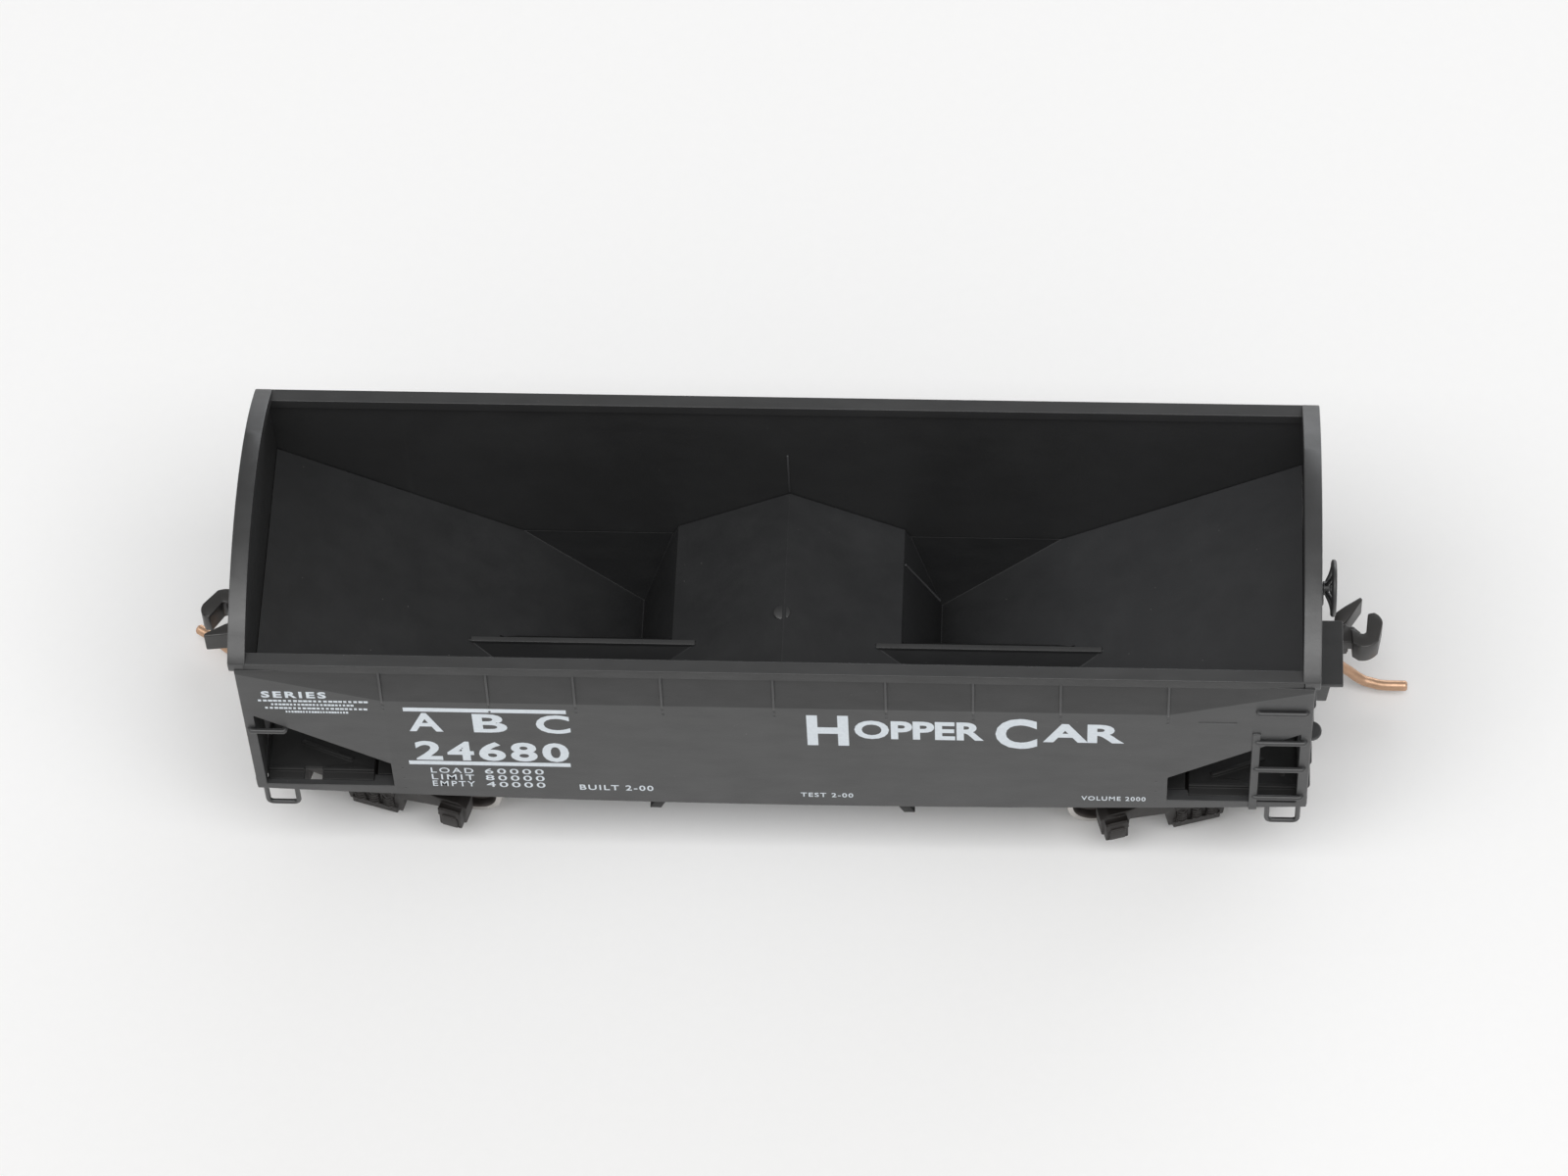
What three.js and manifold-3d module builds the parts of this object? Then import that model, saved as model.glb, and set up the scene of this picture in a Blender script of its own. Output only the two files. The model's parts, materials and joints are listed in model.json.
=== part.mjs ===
// Model hopper car, 1:160, twin bays, offset sides and arched ends.
// Millimetres, +X towards the brake-wheel end, +Y across the car, +Z up.
// The origin is on the floor under the middle of the car.

import * as THREE from 'three';
import { mergeVertices } from 'three/addons/utils/BufferGeometryUtils.js';
import Module from 'manifold-3d';

const wasm = await Module();
wasm.setup();

// ---------------------------------------------------------------- driving dimensions

const GAP = 0.03;                 // between pieces that are pressed or laid together

const body = {
  halfLength: 32.1,               // over the corner posts
  side: 9.96,                     // outer face of the side sheets
  wall: 0.81,                     // side sheet thickness
  bottomMid: 6.77,                // lower edge of the side at the middle of the car
  bottomEnd: 7.69,                // and at the corners
  breakZ: 18.36,                  // where the side sheet starts to lean in
  leanIn: 0.36,                   // how far it leans in at the top
  chordBottom: 21.3,
  top: 22.1,
  chordOut: 9.84,
  chordIn: 8.97,
  capIn: 31.34,                   // end cap, inner and outer faces
  capOut: 32.4,
  rise: 3.1,                      // arch of the end caps
  endSheetBottom: 15.5,
  postWidth: 0.72,
};
body.inner = body.side - body.wall;

const ribs = { offsets: [0, 6.69, 11.89, 17.09, 23.49], width: 0.3, proud: 0.17 };

const cutout = { inner: 23.6, outer: 31.42, low: 8.2, high: 10.9, slope: 0.69 };

const hopper = {
  endX: 31.57,                    // slope sheet, upper end
  endZ: 16.58,
  valleyX: 9.45,                  // and lower end
  valleyZ: 3.05,
  footX: 9.4,                     // inner sheet of the bay
  eaveX: 7.1,
  eaveZ: 8.4,
  ridgeZ: 12.4,
  turnZ: 7.6,                     // side sheets lean in below this
  turnY: 9.1,
  footY: 6.9,
  sheet: 0.62,
  hoodRidgeZ: 9.3,
  hoodHalf: 1.4,
  hoodEaveZ: 7.5,
};

const sill = { half: 0.95, bottom: 6.9, top: 8.1, notch: 7.45, notchX: 27.6, endX: 29.3 };

const deck = {
  inner: 24.9,                    // plate over each end
  outer: 31.45,
  wide: 9.5,                      // it reaches into a rebate in the side's bottom rail
  low: 7.75,
  lipY: 8.95,
  lipTop: 8.3,
};

const truck = {
  x: 23.4,                        // from the middle of the car to each kingpin
  yaw: 16,                        // degrees, how far both trucks are turned at rest
  halfBase: 5.2,
  axleZ: 3.1,
  frameIn: 6.45,
  frameOut: 7.65,
  boxOut: 8.15,
  plateTop: 5.75,
};

const wheel = { tread: 2.6, flange: 3.1, inner: 3.85, outer: 5.8, bore: 0.74 };

const coupler = {
  pivot: 7.9,                     // from the kingpin
  slack: 0.3,                     // how far each coupler can slide in on its pin
  boxIn: 5.5,
  boxOut: 9.8,
  boxHalf: 2.3,
  floorZ: 4.95,
  lidZ: 7.0,
  skin: 0.3,
  armBottom: 5.3,
  split: 6.09,                    // plane between the two halves
  armTop: 6.95,
  face: [[4.95, -0.3], [5.36, 0.95]],   // ends of the knuckle's pulling face
};

const colours = {
  shell: [0x1b1c1e, 0.5, 0.0],
  interior: [0x17181a, 0.55, 0.0],
  frame: [0x191919, 0.6, 0.0],
  truck: [0x231f1d, 0.6, 0.0],
  wheel: [0x2b2624, 0.4, 0.6],
  steel: [0x8b8d90, 0.35, 1.0],
  coupler: [0x1d1b1a, 0.6, 0.0],
  copper: [0xb5815a, 0.3, 1.0],
};

// ---------------------------------------------------------------- geometry helpers

const rad = THREE.MathUtils.degToRad;

// A closed solid from a three.js geometry, whichever way its faces wind.
function solid(geometry) {
  const bare = geometry.index ? geometry.toNonIndexed() : geometry.clone();
  bare.deleteAttribute('normal');
  bare.deleteAttribute('uv');
  const merged = mergeVertices(bare, 1e-5);
  const index = merged.index.array;
  const triangles = [];
  for (let i = 0; i < index.length; i += 3) {
    const [a, b, c] = [index[i], index[i + 1], index[i + 2]];
    if (a !== b && b !== c && c !== a) triangles.push(a, b, c);
  }
  const positions = new Float32Array(merged.attributes.position.array);
  if (signedVolume(positions, triangles) < 0) triangles.reverse();
  return new wasm.Manifold(new wasm.Mesh({
    numProp: 3,
    vertProperties: positions,
    triVerts: new Uint32Array(triangles),
  }));
}

function signedVolume(p, triangles) {
  let sum = 0;
  for (let i = 0; i < triangles.length; i += 3) {
    const [a, b, c] = [0, 1, 2].map((k) => new THREE.Vector3().fromArray(p, 3 * triangles[i + k]));
    sum += a.dot(b.cross(c));
  }
  return sum / 6;
}

function join(...solids) {
  return solids.flat(3).reduce((all, one) => all.add(one));
}

function cut(base, ...tools) {
  return tools.flat(3).reduce((left, tool) => left.subtract(tool), base);
}

function box(x0, x1, y0, y1, z0, z1) {
  const geometry = new THREE.BoxGeometry(x1 - x0, y1 - y0, z1 - z0);
  return solid(geometry.translate((x0 + x1) / 2, (y0 + y1) / 2, (z0 + z1) / 2));
}

function outline(points) {
  return new THREE.Shape(points.map(([u, v]) => new THREE.Vector2(u, v)));
}

function extruded(points, depth) {
  const shape = points instanceof THREE.Shape ? points : outline(points);
  return new THREE.ExtrudeGeometry(shape, { depth, bevelEnabled: false, curveSegments: 12 });
}

// An outline in X and Z, as thick as y0 to y1.
function plate(points, y0, y1) {
  return solid(extruded(points, y1 - y0).rotateX(Math.PI / 2).translate(0, y1, 0));
}

// An outline in Y and Z, as long as x0 to x1.
function profile(points, x0, x1) {
  const turn = new THREE.Matrix4().makeBasis(
    new THREE.Vector3(0, 1, 0), new THREE.Vector3(0, 0, 1), new THREE.Vector3(1, 0, 0));
  return solid(extruded(points, x1 - x0).applyMatrix4(turn).translate(x0, 0, 0));
}

// An outline in X and Y, as high as z0 to z1.
function slab(points, z0, z1) {
  return solid(extruded(points, z1 - z0).translate(0, 0, z0));
}

// A bar between two parallel sections of equally many points.
function loft(from, to) {
  const n = from.length;
  const corners = [...from, ...to].map((p) => new THREE.Vector3(...p));
  const faces = [];
  for (let i = 0; i < n; i += 1) {
    const j = (i + 1) % n;
    faces.push([i, j, n + j], [i, n + j, n + i]);
  }
  for (let i = 1; i < n - 1; i += 1) {
    faces.push([0, i + 1, i], [n, n + i, n + i + 1]);
  }
  const points = faces.flat().map((k) => corners[k]);
  return solid(new THREE.BufferGeometry().setFromPoints(points));
}

// A round bar from one point to another; its ends may differ in radius.
function bar(from, to, r0, r1 = r0, sides = 16) {
  const a = new THREE.Vector3(...from);
  const b = new THREE.Vector3(...to);
  const geometry = new THREE.CylinderGeometry(r1, r0, a.distanceTo(b), sides);
  const along = b.clone().sub(a).normalize();
  const turn = new THREE.Quaternion().setFromUnitVectors(new THREE.Vector3(0, 1, 0), along);
  geometry.applyQuaternion(turn);
  const middle = a.add(b).multiplyScalar(0.5);
  return solid(geometry.translate(middle.x, middle.y, middle.z));
}

// A bent wire of round section through a list of points.
function wire(points, radius, steps, sides = 8) {
  const section = new THREE.Shape();
  section.absarc(0, 0, radius, 0, Math.PI * 2);
  const path = new THREE.CatmullRomCurve3(points.map((p) => new THREE.Vector3(...p)), false, 'centripetal');
  const options = { extrudePath: path, steps, curveSegments: sides / 2, bevelEnabled: false };
  return solid(new THREE.ExtrudeGeometry(section, options));
}

// A turned piece about the Y axis; the profile is [radius, y] and starts and ends on the axis.
function turned(points, segments) {
  return solid(new THREE.LatheGeometry(points.map(([r, y]) => new THREE.Vector2(r, y)), segments));
}

const halfTurn = (part) => part.rotate([0, 0, 180]);

const group = new THREE.Group();

function add(name, part, [color, roughness, metalness], parent = group) {
  const mesh = part.getMesh();
  const geometry = new THREE.BufferGeometry();
  geometry.setAttribute('position', new THREE.BufferAttribute(mesh.vertProperties, 3));
  geometry.setIndex(new THREE.BufferAttribute(mesh.triVerts, 1));
  const node = new THREE.Mesh(geometry, new THREE.MeshStandardMaterial({ color, roughness, metalness }));
  node.name = name;
  parent.add(node);
}

// ---------------------------------------------------------------- body shell

// Lower edge of the side, bowed down a little at the middle.
function sideBottom(x) {
  return body.bottomMid + (body.bottomEnd - body.bottomMid) * (x / body.halfLength) ** 2;
}

// The arch over the end, from one side of the car to the other, at a drop below the cap.
function archPoints(half, drop) {
  const radius = (body.chordOut ** 2 + body.rise ** 2) / (2 * body.rise);
  const centreZ = body.top + body.rise - radius;
  const steps = 12;
  return Array.from({ length: steps + 1 }, (_, i) => {
    const y = half * (1 - (2 * i) / steps);
    return [y, centreZ + Math.sqrt(radius ** 2 - y ** 2) - drop];
  });
}

// The slanted opening in each end of the side, under the slope sheet.
function sideCutout(direction) {
  const high = cutout.high + cutout.slope * (cutout.outer - cutout.inner);
  const points = [
    [cutout.inner, cutout.low],
    [cutout.outer, cutout.low],
    [cutout.outer, high],
    [cutout.inner, cutout.high],
  ].map(([x, z]) => [x * direction, z]);
  return plate(points, -body.side - 1, -body.inner + 1);
}

// What is taken off the outside of the sheet where it leans in, tapering out to the corners.
function leanCut() {
  const last = ribs.offsets.at(-1);
  const out = body.side + 1;
  const up = body.chordBottom;
  const triangle = (x, z, lean) => [
    [x, -body.side, z],
    [x, -body.side + lean, up + 0.01],
    [x, -out, up + 0.01],
    [x, -out, z],
  ];
  const middle = loft(triangle(-last, body.breakZ, body.leanIn), triangle(last, body.breakZ, body.leanIn));
  const tapers = [-1, 1].map((d) => loft(
    triangle(last * d, body.breakZ, body.leanIn), triangle(body.halfLength * d, up - 0.1, 0.01)));
  return [middle, ...tapers];
}

function rib(x) {
  const low = body.breakZ - 0.25;
  const high = body.chordBottom + 0.1;
  const [y0, y1] = [-body.side, -body.side + body.leanIn];
  const section = (side) => [
    [side, y0 + 0.2, low],
    [side, y0 - 0.02, low],
    [side, y0 - ribs.proud + 0.1, body.breakZ + 0.15],
    [side, y1 - ribs.proud, high],
    [side, y1 + 0.2, high],
  ];
  return loft(section(x - ribs.width / 2), section(x + ribs.width / 2));
}

// One rail of a ladder, or a grab iron, standing off the side on two short feet.
function rung(x0, x1, z, standOff = 0.3) {
  const size = 0.26;
  const y = -body.side - standOff;
  const foot = (x) => box(x, x + size, y, -body.side + 0.1, z - size / 2, z + size / 2);
  return [box(x0, x1, y, y + size, z - size / 2, z + size / 2), foot(x0), foot(x1 - size)];
}

// The wire step that hangs below each corner.
function stirrup(x0, x1) {
  const wide = 0.3;
  const [y0, y1] = [-body.side + 0.05, -body.side + 0.4];
  const low = 5.55;
  const high = body.bottomEnd + 0.35;
  return [
    box(x0, x0 + wide, y0, y1, low, high),
    box(x1 - wide, x1, y0, y1, low, high),
    box(x0, x1, y0, y1, low, low + wide),
  ];
}

function side() {
  const steps = 12;
  const lower = Array.from({ length: steps + 1 }, (_, i) => {
    const x = body.halfLength * ((2 * i) / steps - 1);
    return [x, sideBottom(x)];
  });
  const sheet = plate([...lower, [body.halfLength, body.chordBottom + 0.2],
    [-body.halfLength, body.chordBottom + 0.2]], -body.side, -body.inner);
  const rebate = ([x0, x1]) => box(x0, x1, -deck.wide - 0.05, -body.inner + 0.1, 7, cutout.low + 0.05);
  const rebates = [[deck.inner - 0.05, deck.outer + 0.05], [-deck.outer - 0.05, -deck.inner + 0.05]].map(rebate);
  const open = cut(sheet, sideCutout(1), sideCutout(-1), leanCut(), rebates);
  const stileX = 28.55;
  const postX = body.halfLength - body.postWidth;
  const ladder = [box(stileX, stileX + 0.5, -body.side - 0.12, -body.side + 0.45, 7.45, 16.4)];
  [18.9, 15.5, 12.35, 9.0].forEach((z) => ladder.push(rung(stileX + 0.1, postX + 0.5, z)));
  const grab = rung(-body.halfLength + 0.15, -29.5, 14.8);
  const ribsAll = ribs.offsets.flatMap((x) => (x ? [rib(x), rib(-x)] : [rib(x)]));
  return join(open, ladder, grab, ribsAll, stirrup(-31.75, -29.55), stirrup(29.55, 31.75));
}

// Top chord along one side.
function chord() {
  return box(-body.capIn - 0.2, body.capIn + 0.2, -body.chordOut, -body.chordIn, body.chordBottom, body.top);
}

// One end: arched cap, end sheet, corner and end posts, and the end sill.
function endWall() {
  const inX = body.halfLength - 0.5;
  const capHeight = 0.8;
  const cap = profile([...archPoints(body.chordOut, 0), ...archPoints(body.chordOut, capHeight).reverse()],
    body.capIn, body.capOut);
  const sheet = profile([...archPoints(body.chordOut - 0.15, capHeight / 2),
    [-body.side + 0.2, body.endSheetBottom], [body.side - 0.2, body.endSheetBottom]], inX, body.halfLength);
  const sillPart = box(inX - 0.1, body.halfLength, -body.side + 0.05, body.side - 0.05, 7.78, 8.8);
  const post = (y, half) => box(inX, body.halfLength - 0.02, y - half, y + half, 8.5, body.endSheetBottom + 0.3);
  const corners = [-1, 1].map((s) => post(s * (body.side - 0.5), 0.42));
  const posts = [-4.1, 4.1].map((y) => post(y, 0.3));
  const gussets = [[-9.6, -6.9], [6.9, 9.6]].map(
    ([y0, y1]) => box(inX + 0.02, inX + 0.27, y0, y1, 8.5, body.endSheetBottom + 0.3));
  const ladder = [18.6, 15.2, 12, 9.2].map((z) => {
    const [x, size] = [body.halfLength + 0.15, 0.26];
    const foot = (y) => box(inX + 0.1, x, y, y + size, z - size / 2, z + size / 2);
    return [box(x - size, x, -9.5, -7.0, z - size / 2, z + size / 2), foot(-9.5), foot(-7.0 - size)];
  });
  const inner = post(-7.1, 0.22);
  const grab = bar([inX + 0.45, -9, 15.05], [inX + 0.45, -9, 15.33], 0.66, 0.66, 16);
  return join(cap, sheet, sillPart, corners, posts, gussets, inner, ladder, grab);
}

const brake = { y: -2, z: 20.15, radius: 1.75, plane: 33.25, stepZ: 12.45, stepOut: 34.15 };

// Brake housing, platform and its brackets, on the +X end.
function brakeMountings() {
  const face = body.halfLength;
  const peg = bar([face - 0.23, brake.y, brake.z], [face + 2, brake.y, brake.z], 0.3);
  const housing = box(face - 0.1, face + 0.45, brake.y - 0.75, brake.y + 0.75, brake.z - 1.9, brake.z + 0.8);
  const step = box(face - 0.1, brake.stepOut, brake.y - 2.3, brake.y + 2.3, brake.stepZ, brake.stepZ + 0.3);
  const bracket = (y) => loft(
    ...[y, y + 0.3].map((side) => [
      [face - 0.2, side, brake.stepZ - 1.8], [face + 1.1, side, brake.stepZ - 1.8],
      [brake.stepOut - 0.75, side, brake.stepZ + 0.1], [face - 0.2, side, brake.stepZ + 0.1]]));
  const post = box(face - 0.5, face - 0.02, 0.0, 0.5, 8.5, body.endSheetBottom + 0.3);
  return [join(cut(housing, peg), step, bracket(brake.y - 2.2), bracket(0.0), post), peg];
}

function bodyShell() {
  const [mountings, peg] = brakeMountings();
  const half = join(side(), chord(), endWall());
  return cut(join(half, halfTurn(half), mountings), peg);
}

// ---------------------------------------------------------------- hopper floor

// Height profile of the floor's upper face, from the -X end to the +X end, lowered by drop.
function floorLine(drop) {
  const h = hopper;
  const slope = (h.endZ - h.valleyZ) / (h.endX - h.valleyX);
  const steep = (h.eaveZ - h.valleyZ) / (h.footX - h.eaveX);
  const roof = (h.ridgeZ - h.eaveZ) / h.eaveX;
  const down = (gradient) => drop * Math.hypot(1, gradient);
  const foot = h.valleyZ - drop;
  const right = [
    [0, h.ridgeZ - down(roof)],
    [h.eaveX - drop * 0.75, h.eaveZ - down(roof) + drop * 0.75 * roof],
    [h.footX - (down(steep) - drop) / steep, foot],
    [h.valleyX + (down(slope) - drop) / slope, foot],
    [h.endX, h.endZ - down(slope)],
  ];
  const left = right.slice(1).reverse().map(([x, z]) => [-x, z]);
  return [...left, ...right];
}

function aboveFloor(drop, top) {
  return [...floorLine(drop), [hopper.endX, top], [-hopper.endX, top]];
}

// The bay's cross-section: upright at the top, leaning in to the outlet below.
function baySection(grow, widen) {
  const h = hopper;
  const low = h.valleyZ - 2;
  const lean = (h.turnY - h.footY) / (h.turnZ - h.valleyZ);
  const footY = h.turnY - lean * (h.turnZ - low) + grow;
  return [
    [h.turnY + widen, 30],
    [-h.turnY - widen, 30],
    [-h.turnY - widen, h.turnZ],
    [-h.turnY - grow, h.turnZ],
    [-footY, low],
    [footY, low],
    [h.turnY + grow, h.turnZ],
    [h.turnY + widen, h.turnZ],
  ];
}

function hopperFloor() {
  const h = hopper;
  const long = h.endX + 1;
  const outer = plate(aboveFloor(h.sheet, 17), -h.turnY, h.turnY)
    .intersect(profile(baySection(0.55, 0.56), -long, long))
    .intersect(box(-long, long, -h.turnY, h.turnY, 0, 40));
  const cavity = plate(aboveFloor(0, 18), -h.turnY - 0.4, h.turnY + 0.4)
    .intersect(profile(baySection(0, 0.3), -long, long));
  const hood = profile([
    [0, h.hoodRidgeZ], [-h.hoodHalf, h.hoodEaveZ], [-h.hoodHalf, 5], [h.hoodHalf, 5], [h.hoodHalf, h.hoodEaveZ],
  ], -22, 22).intersect(plate(aboveFloor(h.sheet, 17), -3, 3));
  const channel = box(-long, long, -sill.half - 2 * GAP, sill.half + 2 * GAP, 4, sill.top + 2 * GAP);
  return cut(join(cut(outer, cavity), hood), channel);
}

// The two doors of a bay and the locking bar across them.
function outletDoors() {
  const h = hopper;
  const steep = (h.eaveZ - h.valleyZ) / (h.footX - h.eaveX);
  const skin = 0.34;
  const clear = h.sheet * Math.hypot(1, 1 / steep) + GAP;
  const doorTop = 6.3;
  const doorLow = 3.1;
  const faceX = (z) => h.footX - (z - h.valleyZ) / steep - clear;
  const door = (y0, y1) => plate([
    [faceX(doorLow), doorLow], [faceX(doorTop), doorTop],
    [faceX(doorTop) - skin, doorTop], [faceX(doorLow) - skin, doorLow],
  ], y0, y1);
  const beam = plate([
    [faceX(4.1) - 0.06, 4.1], [faceX(4.9) - 0.06, 4.9], [faceX(4.9) - 0.75, 4.9], [faceX(4.1) - 0.75, 4.1],
  ], -8.8, 8.8);
  const lug = (y) => plate([
    [faceX(doorLow) - 0.1, doorLow], [faceX(4.6) - 0.1, 4.6], [faceX(4.6) - 0.95, 4.6],
    [faceX(doorLow) - 0.7, doorLow - 0.35], [faceX(doorLow) - 0.1, doorLow - 0.35],
  ], y, y + 0.4);
  const doors = [door(1.5, 6.9), door(-6.9, -1.5)];
  return join(doors, beam, [2.2, 5.6, -2.6, -6.0].map(lug));
}

// ---------------------------------------------------------------- underframe and what it carries

function slopeUnder(x) {
  const gradient = (hopper.endZ - hopper.valleyZ) / (hopper.endX - hopper.valleyX);
  return hopper.valleyZ + gradient * (x - hopper.valleyX) - hopper.sheet * Math.hypot(1, gradient);
}

function underframe() {
  const wide = hopper.turnY - GAP;
  const beam = box(-sill.notchX, sill.notchX, -sill.half, sill.half, sill.bottom, sill.top);
  const ends = box(-sill.endX, sill.endX, -sill.half, sill.half, sill.notch, sill.top);
  const cross = box(-0.9, 0.9, -wide, wide, sill.bottom + 0.2, sill.top);
  const parts = [beam, ends, cross];
  [-1, 1].forEach((d) => {
    const x = d * truck.x;
    const webTop = slopeUnder(truck.x - 0.35) - 0.08;
    parts.push(profile([
      [-wide, 7.5], [-2.4, sill.bottom - 0.2], [2.4, sill.bottom - 0.2], [wide, 7.5],
      [wide, sill.top], [-wide, sill.top],
    ], x - 1.3, x + 1.3));
    parts.push(profile([[-8.4, sill.top - 0.1], [8.4, sill.top - 0.1], [6.6, webTop], [-6.6, webTop]],
      x - 0.3, x + 0.3));
    parts.push(bar([x, 0, truck.plateTop + 0.05], [x, 0, sill.top], 2.0, 2.0, 16));
    const [near, far] = [deck.inner, deck.outer].map((end) => d * end).sort((a, b) => a - b);
    parts.push(box(near, far, -deck.wide, deck.wide, deck.low, sill.top));
    [-1, 1].forEach((s) => {
      const [y0, y1] = [s * deck.lipY, s * (deck.lipY - 0.25)].sort((a, b) => a - b);
      parts.push(box(near, far, y0, y1, deck.low, deck.lipTop));
      parts.push(slab([
        [d * 26.2, s * 8.0], [d * 26.4, s * 8.2], [d * 29.6, s * 7.0], [d * 29.4, s * 6.8],
      ], sill.top - 0.1, deck.lipTop));
    });
  });
  const kingHoles = [-1, 1].map((d) => bar([d * truck.x, 0, 5], [d * truck.x, 0, 7.8], kingpin.radius + GAP));
  const lever = join(box(28.1, 29.2, 8.65, 10, 7, 9), box(-30.75, -30.45, 7.65, 8.0, 7, 9));
  return cut(join(parts), kingHoles, lever, halfTurn(lever));
}

const kingpin = { radius: 0.85, head: 1.5, headZ: 3.1, topZ: 7.7 };

function kingpinPart() {
  const { radius, head, headZ, topZ } = kingpin;
  return solid(new THREE.LatheGeometry([
    [0, headZ], [head, headZ], [head, headZ + 0.5], [radius, headZ + 0.5], [radius, topZ - 0.3],
    [radius - 0.25, topZ], [0, topZ],
  ].map(([r, z]) => new THREE.Vector2(r, z)), 16).rotateX(Math.PI / 2));
}

// Steel wedge under a slope sheet, inboard of the bolster web.
function slopeWeight() {
  const [x0, x1] = [19.9, truck.x - 0.4];
  const low = sill.top + GAP + 0.02;
  return plate([[x0, low], [x1, low], [x1, slopeUnder(x1) - 0.06], [x0, slopeUnder(x0) - 0.06]], -8.5, 8.5);
}

// Steel prism under the roof between the bays.
function middleWeight() {
  const low = sill.top + GAP + 0.02;
  const roof = (hopper.ridgeZ - hopper.eaveZ) / hopper.eaveX;
  const drop = hopper.sheet * Math.hypot(1, roof) + 0.08;
  const half = 5.2;
  return plate([
    [-half, low], [half, low], [half, hopper.ridgeZ - drop - roof * half], [0, hopper.ridgeZ - drop],
    [-half, hopper.ridgeZ - drop - roof * half],
  ], -8.5, 8.5);
}

// Brake cylinder, reservoir and valve on one bracket, over the centre sill.
function brakeGear() {
  const low = sill.top + GAP;
  const shelf = box(24.05, 26.7, -4.6, 5.4, low, low + 0.3);
  const reservoir = bar([25.4, 1.2, 9.3], [25.4, 5.2, 9.3], 0.95, 0.95, 16);
  const cylinder = bar([24.3, -2.9, 9.3], [26.6, -2.9, 9.3], 1.0, 1.0, 16);
  const rod = bar([26.5, -2.9, 9.3], [27.0, -2.9, 9.3], 0.3, 0.3, 8);
  const valve = box(24.9, 25.9, -1.3, 0.1, low + 0.2, 9.6);
  const pipe = bar([25.4, 0, 9.1], [25.4, 1.4, 9.1], 0.22, 0.22, 8);
  return join(shelf, reservoir, cylinder, rod, valve, pipe);
}

// Dished brake wheel with a peg that turns in the housing.
function brakeWheel() {
  const { y, z, radius, plane } = brake;
  const ring = new THREE.TorusGeometry(radius - 0.17, 0.17, 5, 20).rotateY(Math.PI / 2);
  const hubX = body.halfLength + 0.5;
  const hub = bar([hubX, y, z], [hubX + 0.4, y, z], 0.42, 0.42, 12);
  const peg = bar([body.halfLength - 0.2, y, z], [hubX + 0.2, y, z], 0.25, 0.25, 12);
  const spokes = Array.from({ length: 5 }, (_, i) => {
    const a = (i / 5) * Math.PI * 2 + 0.3;
    const rim = radius - 0.17;
    return bar([hubX + 0.25, y, z], [plane, y + rim * Math.cos(a), z + rim * Math.sin(a)], 0.13, 0.13, 6);
  });
  return join(solid(ring.translate(plane, y, z)), hub, peg, spokes);
}

// ---------------------------------------------------------------- trucks

// One side frame, drawn on its own middle, with two journal boxes and a spring nest.
function sideFrame() {
  const { halfBase: b, frameIn, frameOut, boxOut, axleZ } = truck;
  const half = [
    [1.75, 1.35], [1.95, 2.9], [b - 0.95, 3.3], [b - 0.85, 2.1], [b + 0.85, 2.1], [b + 0.95, 3.9],
    [b + 0.4, 4.3], [b - 0.9, 4.35], [2.7, 5.0],
  ];
  const whole = [...half, ...half.slice().reverse().map(([x, z]) => [-x, z])];
  const journals = [-1, 1].map((d) => [
    box(d * b - 0.72, d * b + 0.72, frameOut - 0.2, boxOut, 2.15, 4.0),
    loft(
      [[d * b - 0.72, boxOut - 0.05, 3.4], [d * b - 0.72, boxOut + 0.12, 3.4],
        [d * b - 0.72, boxOut - 0.05, 4.15]],
      [[d * b + 0.72, boxOut - 0.05, 3.4], [d * b + 0.72, boxOut + 0.12, 3.4],
        [d * b + 0.72, boxOut - 0.05, 4.15]]),
  ]);
  const nest = box(-1.5, 1.5, frameOut - 0.2, frameOut + 0.22, 1.35, 2.0);
  const springs = [-0.95, 0, 0.95].map((x) => bar([x, frameOut, 1.9], [x, frameOut, 3.3], 0.36, 0.36, 6));
  const cap = box(-1.4, 1.4, frameOut - 0.2, frameOut + 0.18, 3.2, 3.9);
  const cone = (d) => bar([d * b, frameIn - 0.01, axleZ], [d * b, frameIn + 0.8, axleZ], 0.56, 0.12, 8);
  return cut(join(plate(whole, frameIn, frameOut), journals, nest, springs, cap), cone(-1), cone(1));
}

function truckFrame() {
  const { frameIn, plateTop } = truck;
  const frame = sideFrame();
  const bolster = profile([
    [-frameIn - 0.2, 4.2], [-2.6, 3.7], [2.6, 3.7], [frameIn + 0.2, 4.2], [frameIn + 0.2, 4.85],
    [2.4, 5.15], [-2.4, 5.15], [-frameIn - 0.2, 4.85],
  ], -1.45, 1.45);
  const plateRound = bar([0, 0, 5], [0, 0, plateTop], 1.95, 1.95, 16);
  const neck = box(1.2, coupler.boxIn + 0.6, -1.3, 1.3, 4.45, coupler.floorZ + 0.25);
  const { boxIn, boxOut, boxHalf, floorZ, lidZ, skin } = coupler;
  const tray = box(boxIn, boxOut, -boxHalf, boxHalf, floorZ, lidZ);
  const room = box(boxIn + skin, boxOut - skin, -boxHalf + skin, boxHalf - skin, floorZ + skin, lidZ + 1);
  const mouth = box(boxOut - 1, boxOut + 1, -1.7, 1.7, floorZ + skin, lidZ + 1);
  const pinHole = bar([coupler.pivot, 0, floorZ - 1], [coupler.pivot, 0, lidZ], pivotPin.radius + GAP, undefined, 12);
  const kingHole = bar([0, 0, 3], [0, 0, 6], kingpin.radius + 0.07, undefined, 16);
  const pocket = cut(tray, room, mouth, pinHole);
  return cut(join(frame, halfTurn(frame), bolster, plateRound, neck, pocket), kingHole);
}

const pivotPin = { radius: 0.48, head: 0.8 };

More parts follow.
